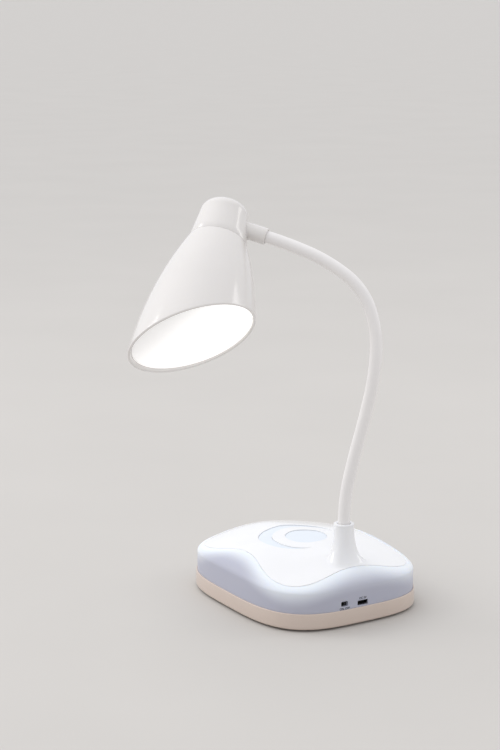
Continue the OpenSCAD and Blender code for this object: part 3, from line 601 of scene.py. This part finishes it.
def make_materials():
    """One material for each finish of the lamp."""
    look = bpy.context.scene.lamp_look
    MATERIALS.update(
        cover=moulded("glossy_cover", tuple(look.cover), 0.16, coat=0.6, vary=0.015, soft=0.05),
        # The ring's material paints light beside the cover and shade below it.
        ring=frosted_ring(tuple(look.ring), tuple(look.ring_painted_shade)),
        # The pan's warm beige is partly its own off-white and partly a painted warm reflection and
        # painted shade.
        pan=moulded("beige_pan", tuple(look.pan), 0.3, coat=0.3),
        pad=moulded("pale_inlay", tuple(look.pad), 0.2, coat=0.4, vary=0.01),
        neck=moulded("satin_sleeve", tuple(look.neck), 0.38, coat=0.1, grain=1800, relief=0.05),
        head=moulded("glossy_head", tuple(look.head), 0.2, coat=0.5, vary=0.02, soft=0.05),
        opal=lit_opal(),
        lens=glowing_lens(),
        tray=moulded("reflective_tray", (0.88, 0.88, 0.87), 0.3, coat=0.2),
        rubber=moulded("foot_rubber", (0.035, 0.035, 0.037), 0.7, grain=1500, relief=0.3, vary=0.2),
        black=moulded("black_plastic", (0.01, 0.01, 0.011), 0.6, grain=1800, relief=0.1, shine=0.08),
        dark=moulded("dark_plastic", (0.045, 0.045, 0.047), 0.5, grain=1500, relief=0.2),
        print=moulded("grey_print", (0.03, 0.03, 0.035), 0.6, shine=0.1),
        shell=metal("dark_steel", (0.05, 0.05, 0.055), 0.5),
        board=circuit_board("green_board", (0.02, 0.13, 0.05)),
        pale_board=circuit_board("white_board", (0.75, 0.74, 0.7)),
        steel=metal("zinc_steel", (0.62, 0.62, 0.63), 0.32),
        ballast=metal("plain_steel", (0.28, 0.29, 0.31), 0.5, 12),
        core=metal("wound_steel", (0.4, 0.41, 0.43), 0.4, 90),
        plate=metal("plain_aluminium", (0.78, 0.79, 0.8), 0.35, 8),
        brass=metal("turned_brass", (0.7, 0.52, 0.22), 0.28),
        gold=metal("plated_spring", (0.85, 0.62, 0.2), 0.2),
        cell=wrapped_cell(),
        red=moulded("red_insulation", (0.42, 0.02, 0.02), 0.45),
        pale=moulded("pale_insulation", (0.7, 0.7, 0.7), 0.45),
    )


FINISHED_NODES = {
    "pan": "base_pan", "rubber": "rubber_feet", "ballast": "ballast_plate", "cell": "battery_cell",
    "steel": "case_screws ballast_screws switch_body port_screws glow_screws board_screws "
             "neck_washer swivel_clip led_screws head_screws",
    "dark": "battery_cradle", "board": "port_board main_board", "shell": "usb_socket",
    "black": "switch_knob main_chips", "pale_board": "glow_board", "lens": "glow_leds led_chips",
    "ring": "light_ring", "cover": "top_cover", "pad": "touch_pad crescent_inlay",
    "gold": "touch_spring", "red": "battery_leads head_leads", "pale": "port_leads",
    "brass": "neck_ferrule neck_locknut end_ferrule swivel_washer",
    "head": "head_cap head_shade", "tray": "reflector_tray", "plate": "led_plate",
    "opal": "diffuser",
    "neck": " ".join(f"neck_sleeve_{k}" for k in range(9)),
    "core": " ".join(f"neck_core_{k}" for k in range(9)),
}
NODE_FINISH = {node: finish for finish, nodes in FINISHED_NODES.items() for node in nodes.split()}


class LAMP_OT_finishes(bpy.types.Operator):
    """Makes the materials and paints every carried-over part"""

    bl_idname = "lamp.finishes"
    bl_label = "Finishes"

    def execute(self, context):
        make_materials()
        for name, node in frame["nodes"].items():
            node.data.materials.clear()
            node.data.materials.append(MATERIALS[NODE_FINISH[name]])
        return {"FINISHED"}


# ---------------------------------------------------------------- base pieces
class LAMP_OT_pan(bpy.types.Operator):
    """Builds the pan with its rounded lower edge and its rim; its warm beige is partly its own
    off-white and partly a painted warm reflection and painted shade.
    """

    bl_idname = "lamp.pan"
    bl_label = "Pan"

    def execute(self, context):
        base = Base()
        angles = round_angles(720)
        wall, lower, rim, ledge, middle = 2.0 * MM, 1.6 * MM, 0.5 * MM, 3 * MM, 22 * MM
        rebate, ring_wall = 0.8 * MM, 2.9 * MM
        low, top = base.pan_low, base.rim
        profile = [(middle, low)]
        profile += [(lower - lower * math.sin(a), low + lower - lower * math.cos(a))
                    for a in np.linspace(0, math.pi / 2, 8)]
        profile += [(0.0, low + (top - low) * 0.6)]
        profile += [(rim - rim * math.cos(a), top - rim + rim * math.sin(a))
                    for a in np.linspace(0, math.pi / 2, 6)]
        profile += [(rebate, top - 0.05 * MM), (rebate, top - ledge), (ring_wall, top - ledge),
                    (ring_wall, low + wall), (middle, low + wall)]
        rows = []
        for inset, height in profile:
            flat = base.flat(angles, inset)
            rows.append(np.concatenate([flat, np.full((len(angles), 1), height)], 1))
        pan = piece("pan_shell", *capped(rows), "base", "base_pan")
        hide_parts("base_pan")
        return {"FINISHED"}


def window_cutters(base):
    """The two openings in the back wall: for the plug and for the switch."""
    cutters = []
    for name, node, grow, radius in (("plug_window", "usb_socket", 0.35 * MM, 0.5 * MM),
                                     ("switch_window", "switch_knob", 0.0, 0.8 * MM)):
        low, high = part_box(node)
        if name == "switch_window":
            travel = frame_joint("switch_slide")["range_m"][1]
            low, high = low.copy(), high.copy()
            low.x, low.z = low.x - travel - 0.3 * MM, low.z - 0.4 * MM
            high.x, high.z = high.x + 0.3 * MM, high.z + 0.4 * MM
        wide = Vector((grow, 0, grow))
        low, high = low - wide, high + wide
        low.y, high.y = base.half[1] - 6 * MM, base.half[1] + 2 * MM
        cutters.append(rounded_box(name, low, high, radius))
    return cutters


def frame_joint(name):
    """A joint of the frame by its name."""
    return next(j for j in frame["joints"] if j["name"] == name)


class LAMP_OT_ring(bpy.types.Operator):
    """Builds the frosted ring from the pan's ledge to under the cover"""

    bl_idname = "lamp.ring"
    bl_label = "Light Ring"

    def execute(self, context):
        base = Base()
        angles = round_angles(720)
        s = base.set
        gap, tuck = 0.1 * MM, 0.1
        edge = base.wave(angles) + gap / base.half[0]
        under = s.cover_thickness + gap
        tongue, wall, ledge_depth = 1.2 * MM, 2 * MM, 3 * MM
        inner = under + tongue
        ledge = base.rim - ledge_depth
        rows = [base.point(angles, 1.0 + 0 * angles)]
        rows[0][:, 2] = ledge
        rows.append(rows[0].copy())
        rows[1][:, 2] = s.shoulder * 0.75
        for t in np.linspace(0, 1, 36) ** 2.2:
            rows.append(base.point(angles, 1 - (1 - edge - BEAD / base.half[0]) * t))
        for a in np.linspace(0, math.pi / 2, 5)[1:]:
            rows.append(base.point(angles, edge + BEAD / base.half[0] * (1 - math.sin(a)),
                                   BEAD * (1 - math.cos(a))))
        rows.append(base.point(angles, edge, under))
        rows.append(base.point(angles, edge - tuck, under))
        rows.append(base.point(angles, edge - tuck, inner))
        for t in np.linspace(0, 1, 12)[1:]:
            deep = inner if t < 0.9 else wall
            rows.append(base.point(angles, edge - tuck + (1 - edge + tuck) * t ** 0.6, deep))
        rows.append(rows[-1].copy())
        rows[-1][:, 2] = ledge
        ring = plain_object("ring_shell", *looped(rows))
        cut(ring, *window_cutters(base))
        finished(ring, "base", "light_ring", sharp=40)
        # The distance from the wave edge is stored on the ring's points to place its painted light
        # and painted shade.
        points = np.array([v.co for v in ring.data.vertices])
        band_value = ring.data.attributes.new("from_edge", "FLOAT", "POINT")
        band_value.data.foreach_set("value", base.from_edge(points))
        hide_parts("light_ring")
        return {"FINISHED"}


def cover_rows(base):
    """Rows of points round the neck's foot: socket, flare, crown, wave edge and underside."""
    n, s = base.neck, base.set
    bearing = round_angles(576)
    cos, sin = np.cos(bearing), np.sin(bearing)
    foot_y = base.foot[1]
    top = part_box("top_cover")[1].z
    bore_depth, sleeve_length, wall, collar = 15 * MM, 14 * MM, 0.5 * MM, 1 * MM
    step = top - bore_depth
    tube = n.socket_radius - 0.15 * MM
    reach = base.reach(bearing)
    width = base.flare_size(bearing, tube)

    def ring_at(radius, height):
        radius = radius + 0 * bearing
        return np.stack([radius * cos, foot_y + radius * sin, height + 0 * bearing], -1)

    def on_crown(radius, depth=0.0, up=0.0):
        points = ring_at(radius, 0.0)
        points[:, 2] = base.height_at(points[:, 0], points[:, 1], depth) + up
        return points

    rows = [ring_at(n.socket_bore, step), ring_at(n.socket_bore, top - 0.35 * MM)]
    lip = [(n.socket_bore + 0.12 * MM, top - 0.1 * MM), (n.socket_bore + 0.35 * MM, top),
           (n.socket_radius - 0.75 * MM, top), (n.socket_radius - 0.3 * MM, top - 0.1 * MM),
           (n.socket_radius - 0.06 * MM, top - 0.35 * MM), (n.socket_radius, top - 0.7 * MM),
           (n.socket_radius - 0.08 * MM, top - 1.05 * MM), (tube + 0.05 * MM, top - 1.35 * MM),
           (tube, top - 1.6 * MM)]
    rows += [ring_at(r, z) for r, z in lip]
    rise = top - n.flare_drop - on_crown(tube)[:, 2]
    for a in np.linspace(0, math.pi / 2, 34):
        rows.append(on_crown(tube + width * (1 - math.cos(a)), 0.0, rise * (1 - math.sin(a))))
    begin, end = tube + width, reach - BEAD
    for t in np.linspace(0, 1, 72)[1:]:
        rows.append(on_crown(begin + (end - begin) * t))
    edge_points = ring_at(reach, 0.0)
    _, angle = base.share_angle(edge_points[:, 0], edge_points[:, 1])
    edge = base.wave(angle)
    for a in np.linspace(0, math.pi / 2, 5):
        rows.append(base.point(angle, edge - BEAD / base.half[0] * (1 - math.sin(a)),
                               BEAD * (1 - math.cos(a))))
    rows.append(base.point(angle, edge, s.cover_thickness))
    below_edge = reach - 1.5 * MM
    for t in np.linspace(0, 1, 22):
        inner = below_edge - (below_edge - tube - collar) * t
        rows.append(on_crown(inner, s.cover_thickness))
    rows.append(ring_at(tube - wall, step - sleeve_length))
    rows.append(ring_at(n.socket_bore, step - sleeve_length))
    return rows


class LAMP_OT_cover(bpy.types.Operator):
    """Builds the white cover in one sweep with the flare and the socket of the neck"""

    bl_idname = "lamp.cover"
    bl_label = "Cover"

    def execute(self, context):
        base = Base()
        rows = cover_rows(base)
        cover = plain_object("cover_shell", *looped(rows))
        s = base.set
        recess, above, crescent_depth, hole = 1.1 * MM, 5 * MM, 3 * MM, s.pad_radius + 0.12 * MM
        circle = [(hole * math.cos(a), s.pad_back + hole * math.sin(a))
                  for a in round_angles(160)]
        cut(cover, prism("pad_hole", circle, s.crown - recess, s.crown + above),
            crescent_strip(base, "crescent_hole", 0.0, -2 * MM, crescent_depth, 0.0))
        finished(cover, "base", "top_cover", sharp=40)
        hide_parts("top_cover")
        return {"FINISHED"}


class LAMP_OT_inlays(bpy.types.Operator):
    """Builds the touch pad and the crescent"""

    bl_idname = "lamp.inlays"
    bl_label = "Inlays"

    def execute(self, context):
        base = Base()
        s = base.set
        steps = round_angles(160)
        radii = np.linspace(0, 1, 14)[1:]
        thick, rim, sunk = 0.5 * MM, 0.12 * MM, 0.4 * MM
        rows = [(s.pad_radius, thick), (s.pad_radius, rim), (s.pad_radius - rim * 0.3, rim * 0.3)]
        rows += [(s.pad_radius * t - rim * t, 0.0) for t in radii[::-1]]
        placed = []
        for r, drop in rows:
            x, y = r * np.cos(steps), s.pad_back + r * np.sin(steps)
            placed.append(np.stack([x, y, base.height_at(x, y) - sunk - drop], -1))
        pad = piece("pad_disc", stacked(placed), band(placed) + fan(placed, False), "base",
                    "touch_pad")
        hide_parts("touch_pad")
        mark = crescent_strip(base, "crescent_mark", 0.1 * MM, 0.4 * MM, 0.45 * MM, 0.12 * MM)
        finished(mark, "base", "crescent_inlay")
        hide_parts("crescent_inlay")
        return {"FINISHED"}


class LAMP_OT_ports(bpy.types.Operator):
    """Builds the ridged switch knob, the charging socket's tongue and the lettering"""

    bl_idname = "lamp.ports"
    bl_label = "Ports"

    def execute(self, context):
        base = Base()
        self.knob()
        self.tongue()
        switch_low, switch_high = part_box("switch_knob")
        plug_low, plug_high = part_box("usb_socket")
        travel = frame_joint("switch_slide")["range_m"][1]
        middle = (switch_low.x + switch_high.x - travel) / 2
        apart, under, over = 2.1 * MM, 1.9 * MM, 1.7 * MM
        words = [("ON", middle + apart, switch_low.z - under),
                 ("OFF", middle - apart, switch_low.z - under),
                 ("DC 5V", (plug_low.x + plug_high.x) / 2, plug_high.z + over)]
        for text, x, z in words:
            self.lettering(base, text, x, z)
        return {"FINISHED"}

    def knob(self):
        """The knob: a low block with three ridges across it."""
        low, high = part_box("switch_knob")
        ridges = 3
        ridge_height, ridge_foot, ridge_top, chamfer = 0.45 * MM, 0.28 * MM, 0.14 * MM, 0.2 * MM
        body_top = high.y - ridge_height
        outline = [(low.x, low.y), (low.x, body_top - chamfer), (low.x + chamfer, body_top)]
        width = high.x - low.x
        for i in range(ridges):
            centre = low.x + width * (i + 1) / (ridges + 1)
            outline += [(centre - ridge_foot, body_top), (centre - ridge_top, high.y),
                        (centre + ridge_top, high.y), (centre + ridge_foot, body_top)]
        outline += [(high.x - chamfer, body_top), (high.x, body_top - chamfer),
                    (high.x, low.y)]
        rows = [[(x, y, z) for x, y in outline] for z in (low.z, high.z)]
        knob = piece("switch_ridges", *capped(rows), "switch", "switch_knob", smooth=False)
        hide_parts("switch_knob")

    def tongue(self):
        """The charging socket's tongue with its contacts."""
        low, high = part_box("usb_socket")
        centre = (low + high) / 2
        wide, thick, pitch, contacts = 2.4 * MM, 0.35 * MM, 0.85 * MM, 5
        tongue_low = Vector((centre.x - wide, low.y + 1 * MM, centre.z - thick))
        tongue_high = Vector((centre.x + wide, high.y - 1.2 * MM, centre.z + thick))
        tongue = rounded_box("plug_tongue", tongue_low, tongue_high, 0.2 * MM, 3)
        finished(tongue, "base", "switch_knob")
        for i in range(contacts):
            x = centre.x + (i - contacts // 2) * pitch
            strip = rounded_box(f"plug_contact_{i + 1}",
                                Vector((x - 0.2 * MM, tongue_low.y, tongue_low.z - 0.08 * MM)),
                                Vector((x + 0.2 * MM, tongue_high.y - 0.4 * MM,
                                        tongue_low.z + 0.05 * MM)), 0.03 * MM, 2)
            finished(strip, "base", "touch_spring")

    def lettering(self, base, text, x, z):
        """Small printed letters that follow the back wall."""
        curve = bpy.data.curves.new("print_curve", "FONT")
        curve.body = text
        curve.size = 2.0 * MM
        curve.align_x = "CENTER"
        curve.align_y = "CENTER"
        curve.extrude = 0.02 * MM
        curve.offset = 0.05 * MM
        source = bpy.data.objects.new("print_source", curve)
        bpy.context.scene.collection.objects.link(source)
        bpy.context.view_layer.update()
        mesh = bpy.data.meshes.new_from_object(
            source.evaluated_get(bpy.context.evaluated_depsgraph_get()))
        bpy.data.objects.remove(source)
        n = base.set.squareness
        half = base.half - base.set.ring_inset
        for vert in mesh.vertices:
            px = x - vert.co.x
            py = half[1] * (1 - abs(px / half[0]) ** n) ** (1 / n)
            vert.co = (px, py + vert.co.z, z + vert.co.y)
        name = "print_" + text.replace(" ", "_").lower()
        item = bpy.data.objects.new(name, mesh)
        bpy.context.scene.collection.objects.link(item)
        finished(item, "base", "switch_knob", "print", smooth=False)


# ---------------------------------------------------------------- neck
def neck_links():
    """For each link: start point, start direction, length, bend and bending direction."""
    stops = [Vector(j["pos_m"]) for j in frame["joints"] if j["child"].startswith("neck_")]
    stops.append(Vector(frame_joint("head_swivel")["pos_m"]))
    direction = Vector((0, 0, 1))
    links = []
    for start, end in zip(stops[:-1], stops[1:]):
        chord = end - start
        line = chord.normalized()
        half = direction.angle(line)
        side = (line - direction * direction.dot(line))
        side = side.normalized() if side.length > 1e-9 else Vector((1, 0, 0))
        length = chord.length * (half / math.sin(half) if half > 1e-6 else 1)
        links.append((start, direction.copy(), side, length, 2 * half))
        direction = (2 * direction.dot(line) * line - direction).normalized()
    return links


def on_link(link, share):
    """Point and direction at a share of a link's length."""
    start, direction, side, length, bend = link
    if bend < 1e-6:
        return start + direction * length * share, direction
    radius, turn = length / bend, bend * share
    point = start + direction * radius * math.sin(turn) + side * radius * (1 - math.cos(turn))
    return point, direction * math.cos(turn) + side * math.sin(turn)


def tube_rows(stations, across, radius, steps=48):
    """Circles about each station; across is a direction square to the whole line."""
    rows = []
    for point, direction in stations:
        up = direction.cross(across).normalized()
        rows.append([point + radius * (math.cos(a) * across + math.sin(a) * up)
                     for a in (i * TAU / steps for i in range(steps))])
    return rows


class LAMP_OT_neck(bpy.types.Operator):
    """Builds the neck's sleeve in lengths that bend smoothly over each joint"""

    bl_idname = "lamp.neck"
    bl_label = "Neck"

    def execute(self, context):
        links = neck_links()
        across = Vector(frame["joints"][0]["axis"])
        radius, sleeve_wall = context.scene.lamp_neck.neck_radius, 1.2 * MM
        foot_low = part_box("neck_sleeve_0")[0].z
        start = links[0][0]
        below = [(Vector((start.x, start.y, foot_low + (start.z - foot_low) * t)),
                  Vector((0, 0, 1))) for t in (0, 0.35, 0.7)]
        for k in range(len(links) + 1):
            stations = list(below) if k == 0 else [on_link(links[k - 1], 0.5 + 0.5 * i / 14)
                                                   for i in range(14)]
            if k < len(links):
                stations += [on_link(links[k], 0.5 * i / 14) for i in range(15)]
            else:
                end, aim = on_link(links[-1], 1.0)
                stations += [(end + aim * d * MM, aim) for d in (0, 2, 4.5)]
            rows = tube_rows(stations, across, radius)
            rows += tube_rows(stations, across, radius - sleeve_wall)[::-1]
            own_body = "base" if k == 0 else f"neck_{k}"
            rides = own_body if k == len(links) else None
            skin = piece(f"neck_skin_{k}", *looped(rows), rides, f"neck_sleeve_{k}", sharp=60)
            if k < len(links):
                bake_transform(skin)
            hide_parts(f"neck_sleeve_{k}")
        return {"FINISHED"}


# ---------------------------------------------------------------- head
class Head:
    """Places and outlines of the head, worked out from the swivel joint."""

    def __init__(self):
        self.set = s = bpy.context.scene.lamp_head
        joint = frame_joint("head_swivel")
        aim = Vector(joint["axis"]).normalized()
        across = Vector(frame["joints"][0]["axis"]).normalized()
        inward = across.cross(aim).normalized()
        neck_end = Matrix((inward, across, aim)).transposed().to_4x4()
        neck_end.translation = Vector(joint["pos_m"])
        self.stub = neck_end @ Matrix.Rotation(s.turn, 4, "Z")
        self.seam = (self.stub @ Matrix.Translation((0, 0, s.stub_length))
                     @ Matrix.Rotation(s.lean - math.pi / 2, 4, "Y")
                     @ Matrix.Translation((s.seam_radius, 0, -s.stub_up)))

    def radius(self, depth):
        """Radius of the shade's outline at a depth below the seam."""
        s = self.set
        rise = np.sin(s.shade_slope) - depth / s.shade_arc
        return s.seam_radius + s.shade_arc * (np.sqrt(1 - rise ** 2) - math.cos(s.shade_slope))

    def mouth_depth(self, angle, inset, inside):
        """Depth below the seam where the outline meets a plane inside the mouth."""
        s = self.set
        level = s.shade_length - inside / math.cos(s.mouth_tilt)
        depth = level + 0 * angle
        rounds = 30
        for _ in range(rounds):
            depth = level + (self.radius(depth) - inset) * np.cos(angle) * math.tan(s.mouth_tilt)
        return depth

    def ring(self, angle, depth, inset):
        """Points round the shade at depths below the seam, in the lamp's frame."""
        r = self.radius(depth) - inset
        local = np.stack([r * np.cos(angle), r * np.sin(angle), -depth + 0 * angle,
                          np.ones_like(angle)], -1)
        return (local @ np.array(self.seam).T)[:, :3]


class LAMP_OT_shade(bpy.types.Operator):
    """Builds the bell-shaped shade with its obliquely cut, rounded mouth"""

    bl_idname = "lamp.shade"
    bl_label = "Shade"

    def execute(self, context):
        head = Head()
        s = head.set
        angle = round_angles(256)
        lip, floor, opening, bevel, half_way = s.wall / 2, 1.6 * MM, 7 * MM, 0.2 * MM, 0.06 * MM
        mouth = head.mouth_depth(angle, 0.0, 0.0)
        rows = [head.ring(angle, floor + 0 * angle, opening),
                head.ring(angle, 0 * angle, opening),
                head.ring(angle, 0 * angle, bevel),
                head.ring(angle, half_way + 0 * angle, half_way)]
        for t in np.linspace(0, 1, 70):
            rows.append(head.ring(angle, bevel + (mouth - lip - bevel) * t, 0.0))
        for a in np.linspace(0, math.pi, 9)[1:-1]:
            rows.append(head.ring(angle, mouth - lip + lip * math.sin(a),
                                  lip * (1 - math.cos(a))))
        for t in np.linspace(1, 0, 40):
            rows.append(head.ring(angle, floor + (mouth - lip - floor) * t, s.wall))
        shade = piece("shade_shell", *looped(rows), "head", "head_shade", sharp=50)
        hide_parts("head_shade")
        return {"FINISHED"}


class LAMP_OT_cap(bpy.types.Operator):
    """Builds the cap with its rounded top, and the stub that holds the neck"""

    bl_idname = "lamp.cap"
    bl_label = "Cap"

    def execute(self, context):
        head = Head()
        s = head.set
        top = arc_profile(s.cap_radius - s.cap_round, s.cap_height - s.cap_round, s.cap_round,
                          0, 90, 20)
        profile = [(s.seam_radius - 3 * MM, 0.0), (s.seam_radius - 0.2 * MM, 0.0),
                   (s.seam_radius - 0.06 * MM, 0.06 * MM), (s.seam_radius, 0.2 * MM)]
        profile += [(s.seam_radius + (s.cap_radius - s.seam_radius) * t,
                     0.2 * MM + (s.cap_height - s.cap_round - 0.2 * MM) * t)
                    for t in (0.25, 0.5, 0.75)]
        profile += top[:-1] + [((s.cap_radius - s.cap_round) * t, s.cap_height)
                               for t in (1.0, 0.75, 0.5, 0.25)]
        rows = turned(profile, 160, head.seam)
        cap = plain_object("cap_shell", *capped(rows))
        radius, bore = s.stub_radius, context.scene.lamp_neck.neck_radius + 0.3 * MM
        edge = 0.5 * MM
        stub = [(bore, 6 * MM), (bore, 0.3 * MM), (bore + 0.25 * MM, 0.0)]
        stub += [(radius - edge, 0.0)]
        stub += [(radius - edge + edge * math.sin(a), edge - edge * math.cos(a))
                 for a in np.linspace(0, math.pi / 2, 6)[1:]]
        stub += [(radius, s.stub_length + 8 * MM)]
        rows = turned(stub, 96, head.stub)
        item = piece("cap_stub", *looped(rows), "head", "head_cap", sharp=50)
        finished(cap, "head", "head_cap", sharp=50)
        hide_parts("head_cap")
        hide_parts("head_cap")
        return {"FINISHED"}


class LAMP_OT_diffuser(bpy.types.Operator):
    """Builds the lit opal diffuser inside the mouth"""

    bl_idname = "lamp.diffuser"
    bl_label = "Diffuser"

    def execute(self, context):
        head = Head()
        s = head.set
        angle = round_angles(256)
        inset = s.wall + 0.12 * MM
        thick, rim = 1.6 * MM, 0.35 * MM
        face = head.ring(angle, head.mouth_depth(angle, inset + rim, s.diffuser_depth),
                         inset + rim)
        side = head.ring(angle, head.mouth_depth(angle, inset, s.diffuser_depth + rim), inset)
        back = head.ring(angle, head.mouth_depth(angle, inset, s.diffuser_depth + thick), inset)
        middle = face.mean(0)
        rows = [back, side, face] + [middle + (face - middle) * t
                                     for t in np.linspace(1, 0, 12)[1:-1]]
        panel = piece("diffuser_panel", *capped(rows), "head", "diffuser")
        reach = [1.0] * 3 + list(np.linspace(1, 0, 12)[1:-1])
        share = [t * math.cos(a - s.dim_side) for t in reach for a in angle]
        panel.data.attributes.new("to_dim_side", "FLOAT", "POINT").data.foreach_set("value", share)
        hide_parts("diffuser")
        return {"FINISHED"}


# ---------------------------------------------------------------- stage
class LAMP_OT_stage(bpy.types.Operator):
    """Sets the camera, the pale floor, the soft lights and the world"""

    bl_idname = "lamp.stage"
    bl_label = "Stage"

    def execute(self, context):
        self.camera(context)
        self.floor(context)
        self.lights(context)
        self.world(context)
        context.scene.view_settings.view_transform = "Standard"
        return {"FINISHED"}

    def camera(self, context):
        """The photograph's camera: level, upright, aimed by where one point stands in it."""
        s = context.scene.lamp_stage
        right = Vector((math.cos(s.view_azimuth), math.sin(s.view_azimuth), 0))
        away = Vector((-math.sin(s.view_azimuth), math.cos(s.view_azimuth), 0))
        ahead = away * math.cos(s.view_elevation) - Vector((0, 0, math.sin(s.view_elevation)))
        above = right.cross(ahead)
        aspect = 500 / 750
        ray = (ahead * s.lens + right * (s.aim_across - 0.5) * aspect
               - above * (s.aim_down - 0.5)) / s.lens
        eye = Vector((0, 0, s.aim_height)) - ray * s.view_depth
        data = bpy.data.cameras.new("camera")
        data.sensor_fit = "VERTICAL"
        data.sensor_height = 36
        data.lens = s.lens * 36
        data.clip_start = 0.05
        camera = bpy.data.objects.new("camera", data)
        turn = Matrix((right, above, -ahead)).transposed()
        camera.matrix_world = Matrix.Translation(eye) @ turn.to_4x4()
        context.scene.collection.objects.link(camera)
        context.scene.camera = camera

    def floor(self, context):
        """A wide, flat, pale floor."""
        colour = tuple(context.scene.lamp_stage.floor)
        finish = Finish("pale_floor")
        finish.mottle(finish.noise(6, 4), scaled(colour, 0.985), scaled(colour, 1.01))
        finish.dial({"Roughness": 0.7})
        reach = 60.0
        points = [(x, y, 0) for x, y in ((-reach, -reach), (reach, -reach), (reach, reach),
                                         (-reach, reach))]
        mesh = bpy.data.meshes.new("floor")
        mesh.from_pydata(points, [], [(0, 1, 2, 3)])
        mesh.materials.append(finish.material)
        floor = bpy.data.objects.new("floor", mesh)
        context.scene.collection.objects.link(floor)

    def lights(self, context):
        """A broad soft sun from above, and soft boxes at the picture's left and right."""
        azimuth = context.scene.lamp_stage.view_azimuth
        sun = bpy.data.lights.new("sky_light", "SUN")
        sun.energy, sun.angle = 1.05, math.radians(60)
        item = bpy.data.objects.new("sky_light", sun)
        item.visible_glossy = False
        bearing = azimuth - math.radians(110)
        slant = Vector((-math.sin(bearing) * 0.55, math.cos(bearing) * 0.55, -1))
        item.matrix_world = slant.to_track_quat("-Z", "Y").to_matrix().to_4x4()
        context.scene.collection.objects.link(item)
        boxes = [("window_light", azimuth - math.radians(104), 1.5, 0.75, 0.45, 1.1, 4.5,
                  (1.0, 0.99, 0.98)),
                 ("fill_light", azimuth + math.radians(104), 1.5, 0.7, 0.4, 1.0, 2.6,
                  (1.0, 0.98, 0.96))]
        for name, bearing, out, up, width, tall, power, colour in boxes:
            data = bpy.data.lights.new(name, "AREA")
            data.shape = "RECTANGLE"
            data.size, data.size_y = width, tall
            data.energy = power
            data.color = colour
            lamp = bpy.data.objects.new(name, data)
            place = Vector((math.sin(bearing) * out, -math.cos(bearing) * out, up))
            aim = Vector((0.02, 0, 0.12)) - place
            lamp.matrix_world = (Matrix.Translation(place)
                                 @ aim.to_track_quat("-Z", "Y").to_matrix().to_4x4())
            context.scene.collection.objects.link(lamp)

    def world(self, context):
        """Even surroundings; the camera sees a pale wall."""
        world = bpy.data.worlds.new("studio")
        context.scene.world = world
        world.use_nodes = True
        nodes, links = world.node_tree.nodes, world.node_tree.links
        nodes.clear()
        output = nodes.new("ShaderNodeOutputWorld")
        even = nodes.new("ShaderNodeBackground")
        even.inputs["Color"].default_value = (0.97, 0.975, 1.0, 1)
        even.inputs["Strength"].default_value = 0.85
        wall = nodes.new("ShaderNodeBackground")
        wall.inputs["Color"].default_value = (*context.scene.lamp_stage.far, 1)
        path = nodes.new("ShaderNodeLightPath")
        mix = nodes.new("ShaderNodeMixShader")
        links.new(path.outputs["Is Camera Ray"], mix.inputs["Fac"])
        links.new(even.outputs["Background"], mix.inputs[1])
        links.new(wall.outputs["Background"], mix.inputs[2])
        links.new(mix.outputs["Shader"], output.inputs["Surface"])


# ---------------------------------------------------------------- panel and main
OPERATORS = (LAMP_OT_stage, LAMP_OT_finishes, LAMP_OT_pan, LAMP_OT_ring, LAMP_OT_cover,
             LAMP_OT_inlays, LAMP_OT_ports, LAMP_OT_neck, LAMP_OT_shade, LAMP_OT_cap,
             LAMP_OT_diffuser)
SETTINGS = {"lamp_base": BaseSettings, "lamp_neck": NeckSettings, "lamp_head": HeadSettings,
            "lamp_look": LookSettings, "lamp_stage": StageSettings}


class LAMP_PT_panel(bpy.types.Panel):
    """The lamp's pieces and settings"""

    bl_idname = "LAMP_PT_panel"
    bl_label = "Desk Lamp"
    bl_space_type = "VIEW_3D"
    bl_region_type = "UI"
    bl_category = "Desk Lamp"

    def draw(self, context):
        for name, group in SETTINGS.items():
            box = self.layout.box()
            for field in group.__annotations__:
                box.prop(getattr(context.scene, name), field)
        for operator in OPERATORS:
            self.layout.operator(operator.bl_idname)


def register():
    for item in (*SETTINGS.values(), *OPERATORS, LAMP_PT_panel):
        bpy.utils.register_class(item)
    for name, group in SETTINGS.items():
        setattr(bpy.types.Scene, name, bpy.props.PointerProperty(type=group))


def unregister():
    for name in SETTINGS:
        delattr(bpy.types.Scene, name)
    for item in reversed((*SETTINGS.values(), *OPERATORS, LAMP_PT_panel)):
        bpy.utils.unregister_class(item)


def main():
    register()
    for operator in OPERATORS:
        group, name = operator.bl_idname.split(".")
        getattr(getattr(bpy.ops, group), name)()
    bpy.context.view_layer.update()


if __name__ == "__main__":
    main()
